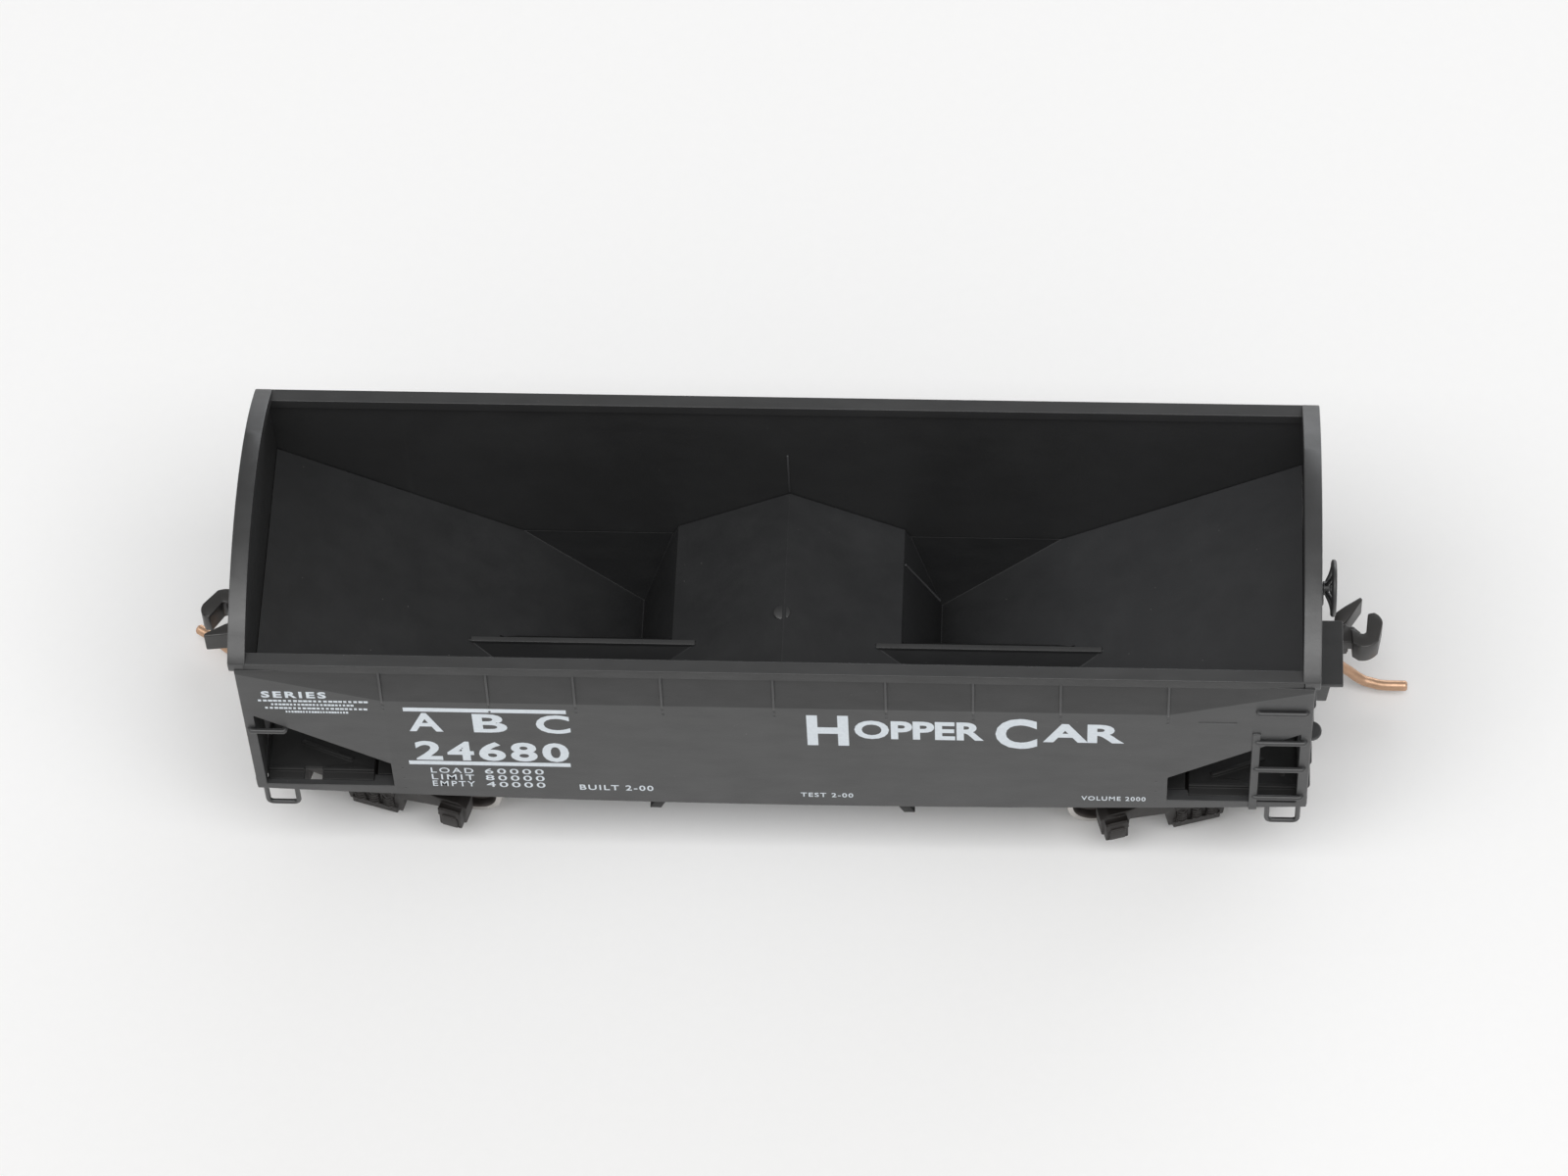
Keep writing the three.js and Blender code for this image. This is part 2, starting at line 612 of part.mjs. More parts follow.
function couplerLid() {
  const { boxIn, boxOut, boxHalf, lidZ, skin, pivot } = coupler;
  const lid = box(boxIn, boxOut, -boxHalf, boxHalf, lidZ + GAP, lidZ + GAP + skin);
  return cut(lid, bar([pivot, 0, lidZ - 1], [pivot, 0, lidZ + 1], pivotPin.radius + GAP, undefined, 12));
}

function couplerPin() {
  const { pivot, floorZ, lidZ, skin } = coupler;
  const top = lidZ + skin + 2 * GAP;
  return join(
    bar([pivot, 0, floorZ], [pivot, 0, top + 0.1], pivotPin.radius, undefined, 12),
    bar([pivot, 0, top], [pivot, 0, top + 0.22], pivotPin.head, pivotPin.head - 0.12, 12));
}

// Centring spring across the back of the box.
function couplerSpring() {
  const z = coupler.floorZ + coupler.skin + 0.85;
  const x = coupler.boxIn + coupler.skin + 0.36;
  const outer = bar([x, -1.3, z], [x, 1.3, z], 0.3, 0.3, 10);
  return cut(outer, bar([x, -2, z], [x, 2, z], 0.16, 0.16, 6));
}

// Eye and shank shared by both coupler halves, with a slotted hole for the pivot pin.
function shank(length, z0, z1) {
  const eye = bar([0, 0, z0], [0, 0, z1], 1.0, 1.0, 20);
  const hole = (x) => bar([x, 0, z0 - 1], [x, 0, z1 + 1], 0.55, 0.55, 12);
  const slot = join(hole(0), hole(coupler.slack), box(0, coupler.slack, -0.53, 0.53, z0 - 1, z1 + 1));
  return cut(join(eye, box(0, length, -0.62, 0.62, z0, z1)), slot);
}

// Lower half: guard arm and the seat of the trip pin.
function couplerArm() {
  const { armBottom, split, armTop } = coupler;
  const horn = slab([[3.1, 0.62], [3.8, 0.62], [4.25, 1.0], [5.32, 2.08], [5.25, 2.3], [4.1, 1.85],
    [3.4, 1.5]], armBottom, armTop);
  const root = slab([[2.6, -0.5], [3.75, -0.5], [4.0, 0.3], [4.1, 1.0], [3.3, 1.1], [2.6, 0.5]],
    armBottom, split - GAP);
  const hole = bar([tripPin.x, tripPin.y, 4], [tripPin.x, tripPin.y, 7], tripPin.radius + 0.02, undefined, 12);
  return cut(join(shank(3.7, armBottom, split - GAP), root, horn), hole);
}

// Upper half: the knuckle that hooks the next car.
function couplerKnuckle() {
  const { armBottom, split, armTop } = coupler;
  const hook = new THREE.Shape();
  hook.moveTo(4.12, 0.1);
  hook.lineTo(3.95, -0.95);
  hook.lineTo(4.25, -1.3);
  hook.quadraticCurveTo(4.9, -1.6, 5.55, -1.1);
  hook.lineTo(6.1, 0.1);
  hook.quadraticCurveTo(6.2, 0.6, 5.75, 0.95);
  hook.lineTo(coupler.face[1][0], coupler.face[1][1]);
  hook.lineTo(coupler.face[0][0], coupler.face[0][1]);
  hook.quadraticCurveTo(4.75, -0.5, 4.5, -0.25);
  hook.closePath();
  const head = slab(hook, armBottom + 0.05, armTop + 0.12);
  const neck = slab([[2.6, -0.5], [4.3, -0.95], [4.6, -0.2], [4.3, 0.3], [3.6, 0.5], [2.6, 0.5]], split + GAP, armTop);
  return join(shank(3.9, split + GAP, armTop), neck, head);
}

const tripPin = { x: 3.2, y: 0.1, radius: 0.29 };

// Bent wire below the coupler. Each one is bent and cut a little differently.
function tripPinPart(reach, sideways) {
  const { x, y, radius } = tripPin;
  return wire([
    [x, y, coupler.split - 0.1],
    [x, y, 4.4],
    [x + 0.04, y, 2.9],
    [x + 0.3, y, 2.0],
    [x + 0.8, y - 0.03, 1.45],
    [x + 1.5, y - 0.38, 1.12],
    [x + 0.47 * reach, y + 0.54 * sideways, 1.0],
    [x + reach, y + sideways, 1.0],
  ], radius, 16, 6);
}

function axlePart() {
  const half = [[0, 7.12], [0.1, 7.12], [0.49, 6.45], [0.49, 6.2], [0.72, 6.0]];
  return turned([...half, ...half.slice().reverse().map(([r, y]) => [r, -y])], 10);
}

// Flanged wheel on the +Y side of its axle, around a press-fit bore.
function wheelPart() {
  const { tread, flange, inner, outer, bore } = wheel;
  return turned([
    [bore, inner], [flange - 0.08, inner], [flange, inner + 0.2], [tread + 0.04, inner + 0.5],
    [tread - 0.03, outer], [2.15, outer], [2.0, outer - 0.45], [1.2, outer - 0.45], [1.1, outer - 0.05],
    [bore, outer - 0.05], [bore, inner],
  ], 24);
}

// A truck with everything that it carries; end is 'a' or 'b'. Its coupler is pushed in by slide and
// turned by yaw degrees against the truck.
function buildTruck(end, slide, yaw, pinReach, pinSideways) {
  const direction = end === 'b' ? 1 : -1;
  const turn = new THREE.Group();
  turn.position.x = direction * truck.x;
  turn.rotation.z = rad(direction * truck.yaw) + (direction < 0 ? Math.PI : 0);
  group.add(turn);
  add(`truck_frame_${end}`, truckFrame(), colours.truck, turn);
  add(`coupler_lid_${end}`, couplerLid(), colours.truck, turn);
  add(`coupler_pivot_pin_${end}`, couplerPin(), colours.steel, turn);
  add(`coupler_spring_${end}`, couplerSpring(), colours.steel, turn);
  ['inner', 'outer'].forEach((place) => {
    const axle = new THREE.Group();
    axle.position.set(place === 'outer' ? truck.halfBase : -truck.halfBase, 0, truck.axleZ);
    turn.add(axle);
    add(`axle_${end}_${place}`, axlePart(), colours.steel, axle);
    add(`wheel_${end}_${place}_left`, wheelPart(), colours.wheel, axle);
    add(`wheel_${end}_${place}_right`, halfTurn(wheelPart()), colours.wheel, axle);
  });
  const head = new THREE.Group();
  head.position.x = coupler.pivot - slide;
  head.rotation.z = rad(yaw);
  turn.add(head);
  add(`coupler_arm_${end}`, couplerArm(), colours.coupler, head);
  add(`coupler_knuckle_${end}`, couplerKnuckle(), colours.coupler, head);
  add(`trip_pin_${end}`, tripPinPart(pinReach, pinSideways), colours.copper, head);
}

// ---------------------------------------------------------------- assembly

add('body_shell', bodyShell(), colours.shell);
add('hopper_floor', hopperFloor(), colours.interior);
add('underframe', underframe(), colours.frame);
add('outlet_doors_b', outletDoors(), colours.frame);
add('outlet_doors_a', halfTurn(outletDoors()), colours.frame);
add('slope_weight_b', slopeWeight(), colours.steel);
add('slope_weight_a', halfTurn(slopeWeight()), colours.steel);
add('middle_weight', middleWeight(), colours.steel);
add('brake_gear', brakeGear(), colours.frame);
add('brake_wheel', brakeWheel(), colours.shell);
add('kingpin_b', kingpinPart().translate([truck.x, 0, 0]), colours.frame);
add('kingpin_a', kingpinPart().translate([-truck.x, 0, 0]), colours.frame);
buildTruck('b', 0, -2.5, 4.45, -1.31);
buildTruck('a', coupler.slack / 2, 1, 4.5, -1.5);

export default group;
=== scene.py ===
"""Looks for the twin-bay model hopper car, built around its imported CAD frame.

Shapes are written in millimetres in the car's own frame (+X towards the brake wheel, +Z up) and
turned into metres as each piece is made.
"""

import json
import math

import bmesh
import bpy
from mathutils import Matrix, Vector

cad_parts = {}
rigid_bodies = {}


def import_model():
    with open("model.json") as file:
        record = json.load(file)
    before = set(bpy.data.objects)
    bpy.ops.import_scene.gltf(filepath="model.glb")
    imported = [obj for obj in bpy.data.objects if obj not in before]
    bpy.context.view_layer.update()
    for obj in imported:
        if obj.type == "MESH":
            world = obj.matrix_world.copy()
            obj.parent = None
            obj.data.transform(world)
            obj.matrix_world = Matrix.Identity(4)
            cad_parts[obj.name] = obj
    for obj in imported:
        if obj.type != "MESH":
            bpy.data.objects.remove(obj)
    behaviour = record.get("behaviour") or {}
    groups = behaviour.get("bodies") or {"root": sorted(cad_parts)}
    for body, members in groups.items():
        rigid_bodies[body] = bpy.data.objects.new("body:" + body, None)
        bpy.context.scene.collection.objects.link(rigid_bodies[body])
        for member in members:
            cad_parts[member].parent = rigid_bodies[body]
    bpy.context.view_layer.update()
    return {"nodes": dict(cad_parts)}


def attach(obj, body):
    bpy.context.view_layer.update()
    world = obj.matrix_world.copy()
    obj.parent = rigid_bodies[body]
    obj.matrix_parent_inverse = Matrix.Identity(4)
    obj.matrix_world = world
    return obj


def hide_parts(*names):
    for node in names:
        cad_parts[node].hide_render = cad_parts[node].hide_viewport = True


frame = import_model()

MM = 0.001
SIDE_Y = 9.96                      # outer face of a side sheet
WALL = 0.81                        # its thickness
LEAN = 0.36                        # how far its top leans in
BREAK_Z = 18.36                    # height where it starts to
CHORD_LOW, CHORD_TOP = 21.3, 22.1
CHORD_OUT, CHORD_IN = 9.84, 8.97   # outer and inner faces of a top chord
HALF = 32.1                        # half the length over the corner posts
END_IN = HALF - 0.5                # inner face of an end wall
CAP_IN, CAP_OUT = 31.34, 32.4      # inner and outer faces of an arched cap
ARCH_RISE = 3.1
END_SHEET_LOW = 15.5
POST_LOW, POST_TOP = 8.5, END_SHEET_LOW + 0.3
RIB_X = (0, 6.69, 11.89, 17.09, 23.49)
TRUCK_X, TRUCK_YAW = 23.4, 16      # distance of a truck from the middle, and its turn in degrees
HALF_BASE, AXLE_Z = 5.2, 3.1       # half of a truck's wheelbase, height of the axles
PIVOT_X = 7.9                      # coupler pivot from the middle of its truck
SLACK = 0.15                       # how far the coupler at the -X end is pushed in
NEAR, FAR = Matrix.Identity(4), Matrix.Rotation(math.pi, 4, "Z")


# ------------------------------------------------------------------ materials

class Shader:
    """A Principled material with short calls for the texture nodes that feed it."""

    def __init__(self, name):
        self.material = bpy.data.materials.new(name)
        self.material.use_nodes = True
        self.tree = self.material.node_tree
        self.principled = next(n for n in self.tree.nodes if n.type == "BSDF_PRINCIPLED")
        self.place = self.tree.nodes.new("ShaderNodeTexCoord").outputs["Object"]

    def link(self, source, target):
        self.tree.links.new(source, target)

    def stretched(self, x, y, z):
        node = self.tree.nodes.new("ShaderNodeMapping")
        node.inputs["Scale"].default_value = (x, y, z)
        self.link(self.place, node.inputs["Vector"])
        return node.outputs["Vector"]

    def noise(self, size_mm, detail, roughness=0.55, place=None):
        node = self.tree.nodes.new("ShaderNodeTexNoise")
        node.inputs["Scale"].default_value = 1 / (size_mm * MM)
        node.inputs["Detail"].default_value = detail
        node.inputs["Roughness"].default_value = roughness
        self.link(place or self.place, node.inputs["Vector"])
        return node.outputs["Fac"]

    def part_of(self, vector, axis):
        node = self.tree.nodes.new("ShaderNodeSeparateXYZ")
        self.link(vector, node.inputs["Vector"])
        return node.outputs[axis]

    def facing_across(self):
        """1 on faces that look straight across the car and 0 on those that look along it or up."""
        geometry = self.tree.nodes.new("ShaderNodeNewGeometry")
        across = self.part_of(geometry.outputs["True Normal"], "Y")
        return self.times(across, across)

    def spots(self, size_mm, radius):
        """1 in small round spots, one in each cell of size_mm, and 0 elsewhere."""
        node = self.tree.nodes.new("ShaderNodeTexVoronoi")
        node.inputs["Scale"].default_value = 1 / (size_mm * MM)
        self.link(self.place, node.inputs["Vector"])
        return self.ramp(node.outputs["Distance"], radius, radius * 0.6)

    def ramp(self, source, low, high, to_low=0.0, to_high=1.0):
        node = self.tree.nodes.new("ShaderNodeMapRange")
        values = {"From Min": low, "From Max": high, "To Min": to_low, "To Max": to_high}
        for name, value in values.items():
            node.inputs[name].default_value = value
        self.link(source, node.inputs["Value"])
        return node.outputs["Result"]

    def times(self, a, b):
        node = self.tree.nodes.new("ShaderNodeMath")
        node.operation = "MULTIPLY"
        for value, target in ((a, node.inputs[0]), (b, node.inputs[1])):
            if isinstance(value, float):
                target.default_value = value
            else:
                self.link(value, target)
        return node.outputs["Value"]

    def blend(self, factor, first, second):
        """Colour first where factor is 0 and second where it is 1."""
        node = self.tree.nodes.new("ShaderNodeMix")
        node.data_type = "RGBA"
        sockets = [s for s in node.inputs if s.type == "RGBA"]
        self.link(factor, node.inputs[0])
        for value, target in zip((first, second), sockets):
            if isinstance(value, tuple):
                target.default_value = (*value, 1)
            else:
                self.link(value, target)
        return next(s for s in node.outputs if s.type == "RGBA")

    def edges(self):
        """1 on sharp outer edges and 0 on flat faces."""
        geometry = self.tree.nodes.new("ShaderNodeNewGeometry")
        return self.ramp(geometry.outputs["Pointiness"], 0.52, 0.60)

    def bump(self, *layers):
        """Stacks (height, depth in mm) layers into one normal."""
        normal = None
        for height, depth in layers:
            node = self.tree.nodes.new("ShaderNodeBump")
            node.inputs["Strength"].default_value = 1.0
            node.inputs["Distance"].default_value = depth * MM
            self.link(height, node.inputs["Height"])
            if normal:
                self.link(normal, node.inputs["Normal"])
            normal = node.outputs["Normal"]
        self.link(normal, self.principled.inputs["Normal"])

    def finish(self, colour, roughness, **constants):
        self.link(colour, self.principled.inputs["Base Color"])
        self.link(roughness, self.principled.inputs["Roughness"])
        for name, value in constants.items():
            self.principled.inputs[name].default_value = value
        return self.material


def scaled(colour, factor):
    return tuple(c * factor for c in colour)


def moulded_plastic(name, colour, roughness, dust=0.25, gloss=1.49, wear_and_sheen=0.3, painted_glare=0.0, painted_shade_heights=None):
    """Satin moulded or sprayed plastic: mottled, finely grained, dusty, and paler on its edges, which
    is partly wear and partly a painted sheen.

    Gloss is its index of refraction. It can take a share of pale, bluish painted glare at the +X end,
    and a pair of heights in mm, lower and upper, between which it gets darker downwards as painted
    shade; with that pair the faces that look across the car get painted shade too.
    """
    s = Shader(name)
    mottle = s.noise(3.5, 4)
    grain = s.noise(0.09, 2, 0.6)
    swirl = s.noise(1.1, 5, 0.6, s.stretched(0.35, 1, 1))
    tone = s.blend(s.ramp(mottle, 0.35, 0.65), scaled(colour, 0.91), scaled(colour, 1.1))
    # Paler edges: partly wear and partly a painted sheen.
    tone = s.blend(s.times(s.edges(), wear_and_sheen), tone, scaled(colour, 1.7))
    specks = s.times(s.spots(0.9, 0.055), s.ramp(s.noise(2.4, 2), 0.52, 0.7))
    tone = s.blend(s.times(specks, dust), tone, (0.34, 0.33, 0.31))
    haze = s.times(s.ramp(s.noise(6, 6, 0.7), 0.5, 0.85), dust * 0.12)
    tone = s.blend(haze, tone, (0.2, 0.2, 0.2))
    # Painted glare: paler and bluer towards the +X end.
    if painted_glare:
        along_car = s.ramp(s.part_of(s.place, "X"), -6 * MM, 22 * MM, 0.0, painted_glare)
        tone = s.blend(along_car, tone, (0.2, 0.205, 0.22))
    # Painted shade: darker downwards between the two heights, and darker on the faces that look across the
    # car.
    if painted_shade_heights:
        height = s.part_of(s.place, "Z")
        tone = s.blend(s.ramp(height, painted_shade_heights[0] * MM, painted_shade_heights[1] * MM), scaled(colour, 0.35), tone)
        tone = s.blend(s.ramp(s.facing_across(), 0.2, 0.8), tone, scaled(colour, 0.5))
    rough = s.ramp(swirl, 0.3, 0.7, roughness - 0.06, roughness + 0.07)
    s.bump((grain, 0.006), (swirl, 0.004))
    return s.finish(tone, rough, IOR=gloss)


def turned_metal(name, colour, roughness, metallic=1.0, stain=(0.05, 0.04, 0.035), stained=0.35):
    """Turned or drawn metal with fine tool lines and darker stains."""
    s = Shader(name)
    lines = s.noise(0.05, 2, 0.5, s.stretched(1, 0.12, 1))
    patches = s.noise(0.8, 5, 0.65)
    tone = s.blend(s.times(s.ramp(patches, 0.42, 0.72), stained), colour, stain)
    tone = s.blend(s.times(s.edges(), 0.5), tone, scaled(colour, 1.4))
    rough = s.ramp(lines, 0.3, 0.7, roughness - 0.08, roughness + 0.1)
    s.bump((lines, 0.003), (patches, 0.003))
    return s.finish(tone, rough, Metallic=metallic)


def printed_ink(name):
    s = Shader(name)
    thin = s.noise(0.25, 4, 0.7)
    tone = s.blend(s.ramp(thin, 0.35, 0.75), (0.70, 0.755, 0.80), (0.62, 0.67, 0.72))
    rough = s.ramp(thin, 0.3, 0.7, 0.5, 0.62)
    s.bump((thin, 0.003),)
    return s.finish(tone, rough, IOR=1.45)


def paper_floor(name):
    s = Shader(name)
    fibres = s.noise(0.8, 6, 0.7)
    tone = s.blend(s.ramp(fibres, 0.3, 0.7), (0.915, 0.915, 0.915), (0.925, 0.925, 0.925))
    rough = s.ramp(fibres, 0.3, 0.7, 0.8, 0.9)
    s.bump((fibres, 0.004),)
    return s.finish(tone, rough)


# The leaning upper part of the side and the chords above it take a darker, duller copy of the shell, as
# painted shade.
# The shell has a faint painted glare at its +X end.
SHELL = moulded_plastic("shell_black", (0.028, 0.0284, 0.029), 0.40, gloss=1.64, painted_glare=0.02)
PAINTED_SHADE_SHELL = moulded_plastic("shell_painted_shade", (0.024, 0.0243, 0.0246), 0.46, gloss=1.47)
# The lining takes painted glare at its +X end, and painted shade low down and on the faces that look across
# the car.
INSIDE = moulded_plastic("interior_black", (0.023, 0.0235, 0.0245), 0.48, dust=0.5, wear_and_sheen=0.05,
                         painted_glare=0.08, painted_shade_heights=(2.5, 8.2))
# A paler copy of the black plastic for the lining's seams and strand: a painted highlight.
PAINTED_HIGHLIGHT = moulded_plastic("painted_highlight_plastic", (0.06, 0.06, 0.063), 0.45)
UNDER = moulded_plastic("frame_black", (0.012, 0.012, 0.012), 0.6)
TRUCK = moulded_plastic("truck_brown_black", (0.012, 0.0098, 0.0088), 0.52)
COUPLER = moulded_plastic("coupler_black", (0.026, 0.0245, 0.0235), 0.38, gloss=1.64)
WHEEL = turned_metal("wheel_dark", (0.10, 0.09, 0.085), 0.36, metallic=0.8)
TREAD = turned_metal("wheel_tread", (0.52, 0.50, 0.48), 0.24)
STEEL = turned_metal("spring_steel", (0.55, 0.55, 0.57), 0.28, stained=0.15)
BLACKENED = turned_metal("blackened_steel", (0.08, 0.08, 0.085), 0.45, metallic=0.9)
COPPER = turned_metal("copper_wire", (0.61, 0.40, 0.27), 0.46, stain=(0.30, 0.18, 0.11), stained=0.3)
INK = printed_ink("lettering_white")


# ------------------------------------------------------------------ mesh tools

def merged(solids):
    whole = bmesh.new()
    for bm in solids:
        mesh = bpy.data.meshes.new("part")
        bm.to_mesh(mesh)
        whole.from_mesh(mesh)
        bpy.data.meshes.remove(mesh)
        bm.free()
    return whole


def flat_list(items):
    for item in items:
        if isinstance(item, (list, tuple)):
            yield from flat_list(item)
        else:
            yield item


def round_edges(bm, width):
    if width <= 0:
        return bm
    bm.normal_update()
    sharp = [e for e in bm.edges if len(e.link_faces) == 2
             and e.calc_face_angle(0) > math.radians(25)]
    bmesh.ops.bevel(bm, geom=sharp, offset=width, segments=2, profile=0.5, affect="EDGES",
                    clamp_overlap=True)
    return bm


def block(x0, x1, y0, y1, z0, z1, edge=0.05):
    bm = bmesh.new()
    size = (abs(x1 - x0), abs(y1 - y0), abs(z1 - z0))
    place = Matrix.Translation(((x0 + x1) / 2, (y0 + y1) / 2, (z0 + z1) / 2))
    bmesh.ops.create_cube(bm, size=1, matrix=place @ Matrix.Diagonal((*size, 1)))
    return round_edges(bm, edge)


def prism(points, low, high, axis="y", edge=0.05):
    """An outline in X and Z, extruded along Y, or for axis x one in Y and Z, extruded along X."""
    put = {"y": lambda u, v, w: (u, w, v), "x": lambda u, v, w: (w, u, v)}[axis]
    return loft([[put(u, v, w) for u, v in points] for w in (low, high)], edge)


def loft(sections, edge=0.05):
    """A closed solid through sections of equally many points."""
    bm = bmesh.new()
    rings = [[bm.verts.new(p) for p in section] for section in sections]
    count = len(rings[0])
    for one, two in zip(rings, rings[1:]):
        for i in range(count):
            j = (i + 1) % count
            bm.faces.new((one[i], one[j], two[j], two[i]))
    bm.faces.new(rings[0])
    bm.faces.new(reversed(rings[-1]))
    bmesh.ops.recalc_face_normals(bm, faces=bm.faces)
    return round_edges(bm, edge)


def lathe(profile, sides=48, place=Matrix.Identity(4)):
    """A closed turned solid about local Z; the profile is (radius, height) and may close on itself."""
    bm = bmesh.new()
    rings = []
    for radius, height in profile:
        if radius < 1e-6:
            rings.append([bm.verts.new((0, 0, height))])
            continue
        angles = (2 * math.pi * i / sides for i in range(sides))
        rings.append([bm.verts.new((radius * math.cos(a), radius * math.sin(a), height)) for a in angles])
    pairs = list(zip(rings, rings[1:]))
    if len(rings[0]) > 1:
        pairs.append((rings[-1], rings[0]))
    for one, two in pairs:
        for i in range(sides):
            j = (i + 1) % sides
            corners = [one[i % len(one)], one[j % len(one)], two[j % len(two)], two[i % len(two)]]
            unique = list(dict.fromkeys(corners))
            if len(unique) > 2:
                bm.faces.new(unique)
    bmesh.ops.recalc_face_normals(bm, faces=bm.faces)
    bmesh.ops.transform(bm, matrix=place, verts=bm.verts)
    return bm


def along(start, end):
    """The matrix that puts local Z on the line from start to end."""
    direction = Vector(end) - Vector(start)
    return Matrix.Translation(start) @ direction.to_track_quat("Z", "Y").to_matrix().to_4x4()


def bar(start, end, radius, sides=24, edge=0.05):
    """A round bar with softened ends."""
    length = (Vector(end) - Vector(start)).length
    profile = [(0, 0), (radius - edge, 0), (radius, edge), (radius, length - edge),
               (radius - edge, length), (0, length)]
    return lathe(profile, sides, along(start, end))


def filleted(points, radius, steps=5):
    """A polyline whose corners are cut back by a radius and rounded."""
    points = [Vector(p) for p in points]
    path = [points[0]]
    for before, corner, after in zip(points, points[1:], points[2:]):
        a = corner + (before - corner).normalized() * radius
        b = corner + (after - corner).normalized() * radius
        for i in range(steps + 1):
            t = i / steps
            path.append(a * (1 - t) ** 2 + corner * 2 * t * (1 - t) + b * t * t)
    return path + [points[-1]]


def smooth_path(points, steps=6):
    """A Catmull-Rom curve through the points."""
    points = [Vector(p) for p in points]
    padded = [2 * points[0] - points[1], *points, 2 * points[-1] - points[-2]]
    path = []
    for p0, p1, p2, p3 in zip(padded, padded[1:], padded[2:], padded[3:]):
        for i in range(steps):
            t = i / steps
            path.append(0.5 * (2 * p1 + (p2 - p0) * t + (2 * p0 - 5 * p1 + 4 * p2 - p3) * t ** 2
                               + (3 * p1 - p0 - 3 * p2 + p3) * t ** 3))
    return path + [points[-1]]


def tube(path, radius, sides=14):
    """A round wire along a path, with softened ends."""
    bm = bmesh.new()
    path = [Vector(p) for p in path]
    first, last = (path[1] - path[0]).normalized(), (path[-1] - path[-2]).normalized()
    soft = radius * 0.35
    centres = [path[0], path[0] + first * soft, *path[1:-1], path[-1] - last * soft, path[-1]]
    radii = [radius * 0.7] + [radius] * (len(centres) - 2) + [radius * 0.7]
    across = first.orthogonal().normalized()
    rings = []
    for i, (centre, size) in enumerate(zip(centres, radii)):
        ahead = centres[min(i + 1, len(centres) - 1)] - centres[max(i - 1, 0)]
        ahead.normalize()
        across = (across - ahead * across.dot(ahead)).normalized()
        other = ahead.cross(across)
        rings.append([bm.verts.new(centre + size * (across * math.cos(a) + other * math.sin(a)))
                      for a in (2 * math.pi * k / sides for k in range(sides))])
    for one, two in zip(rings, rings[1:]):
        for k in range(sides):
            j = (k + 1) % sides
            bm.faces.new((one[k], one[j], two[j], two[k]))
    bm.faces.new(reversed(rings[0]))
    bm.faces.new(rings[-1])
    bmesh.ops.recalc_face_normals(bm, faces=bm.faces)
    return bm


def rivet(x, y, z, facing, radius=0.13):
    """A domed rivet head on a face whose normal is facing."""
    steps = 3
    dome = [(radius * math.cos(t), radius * 0.55 * math.sin(t))
            for t in (math.pi / 2 * i / steps for i in range(steps))]
    base = Vector((x, y, z)) - Vector(facing) * 0.03
    return lathe([(0, -0.02), (radius, -0.02), *dome, (0, radius * 0.55)], 10,
                 along(base, base + Vector(facing)))


def moved(bm, matrix):
    bmesh.ops.transform(bm, matrix=matrix, verts=bm.verts)
    return bm


def evaluated(obj):
    """Replaces the object's mesh by the result of its modifiers."""
    graph = bpy.context.evaluated_depsgraph_get()
    mesh = bpy.data.meshes.new_from_object(obj.evaluated_get(graph))
    obj.modifiers.clear()
    obj.data = mesh
    return obj


def piece(name, solids, material, body, replaces=(), smooth=35, second=None, weighted=True):
    """Makes one named object, in metres, that rides on a body. Its faces of index 1 take second."""
    bm = merged(flat_list([solids]))
    bmesh.ops.scale(bm, vec=(MM, MM, MM), verts=bm.verts)
    mesh = bpy.data.meshes.new(name)
    bm.to_mesh(mesh)
    bm.free()
    mesh.materials.append(material)
    if second:
        mesh.materials.append(second)
    obj = bpy.data.objects.new(name, mesh)
    bpy.context.scene.collection.objects.link(obj)
    shade(obj, smooth, weighted)
    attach(obj, body)
    if replaces:
        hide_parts(*replaces)
    return obj


def shade(obj, smooth, weighted):
    """Smooth shading below an angle in degrees, with normals weighted by the faces' areas."""
    obj.data.shade_smooth()
    obj.data.set_sharp_from_angle(angle=math.radians(smooth))
    if weighted:
        modifier = obj.modifiers.new("weighted", "WEIGHTED_NORMAL")
        modifier.keep_sharp = True
        evaluated(obj)


def temporary(bm):
    """An object for modifiers to work on, removed again by its maker."""
    mesh = bpy.data.meshes.new("temporary")
    bm.to_mesh(mesh)
    bm.free()
    obj = bpy.data.objects.new("temporary", mesh)
    bpy.context.scene.collection.objects.link(obj)
    return obj


def rounded(obj, width, miter="MITER_SHARP"):
    """The object's shape with its edges rounded after its other modifiers, as a new bmesh."""
    modifier = obj.modifiers.new("round", "BEVEL")
    modifier.width = width
    modifier.segments = 2
    modifier.limit_method = "ANGLE"
    modifier.angle_limit = math.radians(30)
    modifier.use_clamp_overlap = False
    modifier.miter_outer = miter
    evaluated(obj)
    result = bmesh.new()
    result.from_mesh(obj.data)
    return result


def refined(node, edge):
    """A CAD node's own shape with its flat faces made whole and its edges rounded."""
    bm = bmesh.new()
    bm.from_mesh(frame["nodes"][node].data)
    bmesh.ops.scale(bm, vec=(1 / MM, 1 / MM, 1 / MM), verts=bm.verts)
    bmesh.ops.remove_doubles(bm, verts=bm.verts, dist=0.002)
    bmesh.ops.dissolve_limit(bm, angle_limit=math.radians(1.5), verts=bm.verts, edges=bm.edges,
                             delimit=set())
    bmesh.ops.triangulate(bm, faces=[f for f in bm.faces if len(f.verts) > 4])
    obj = temporary(bm)
    result = rounded(obj, edge, "MITER_ARC")
    bpy.data.objects.remove(obj)
    return result


# ------------------------------------------------------------------ body

def side_bottom(x):
    """Height of the side's bottom edge, which rises a little towards the ends."""
    middle, end = 6.77, 7.69
    return middle + (end - middle) * (x / HALF) ** 2


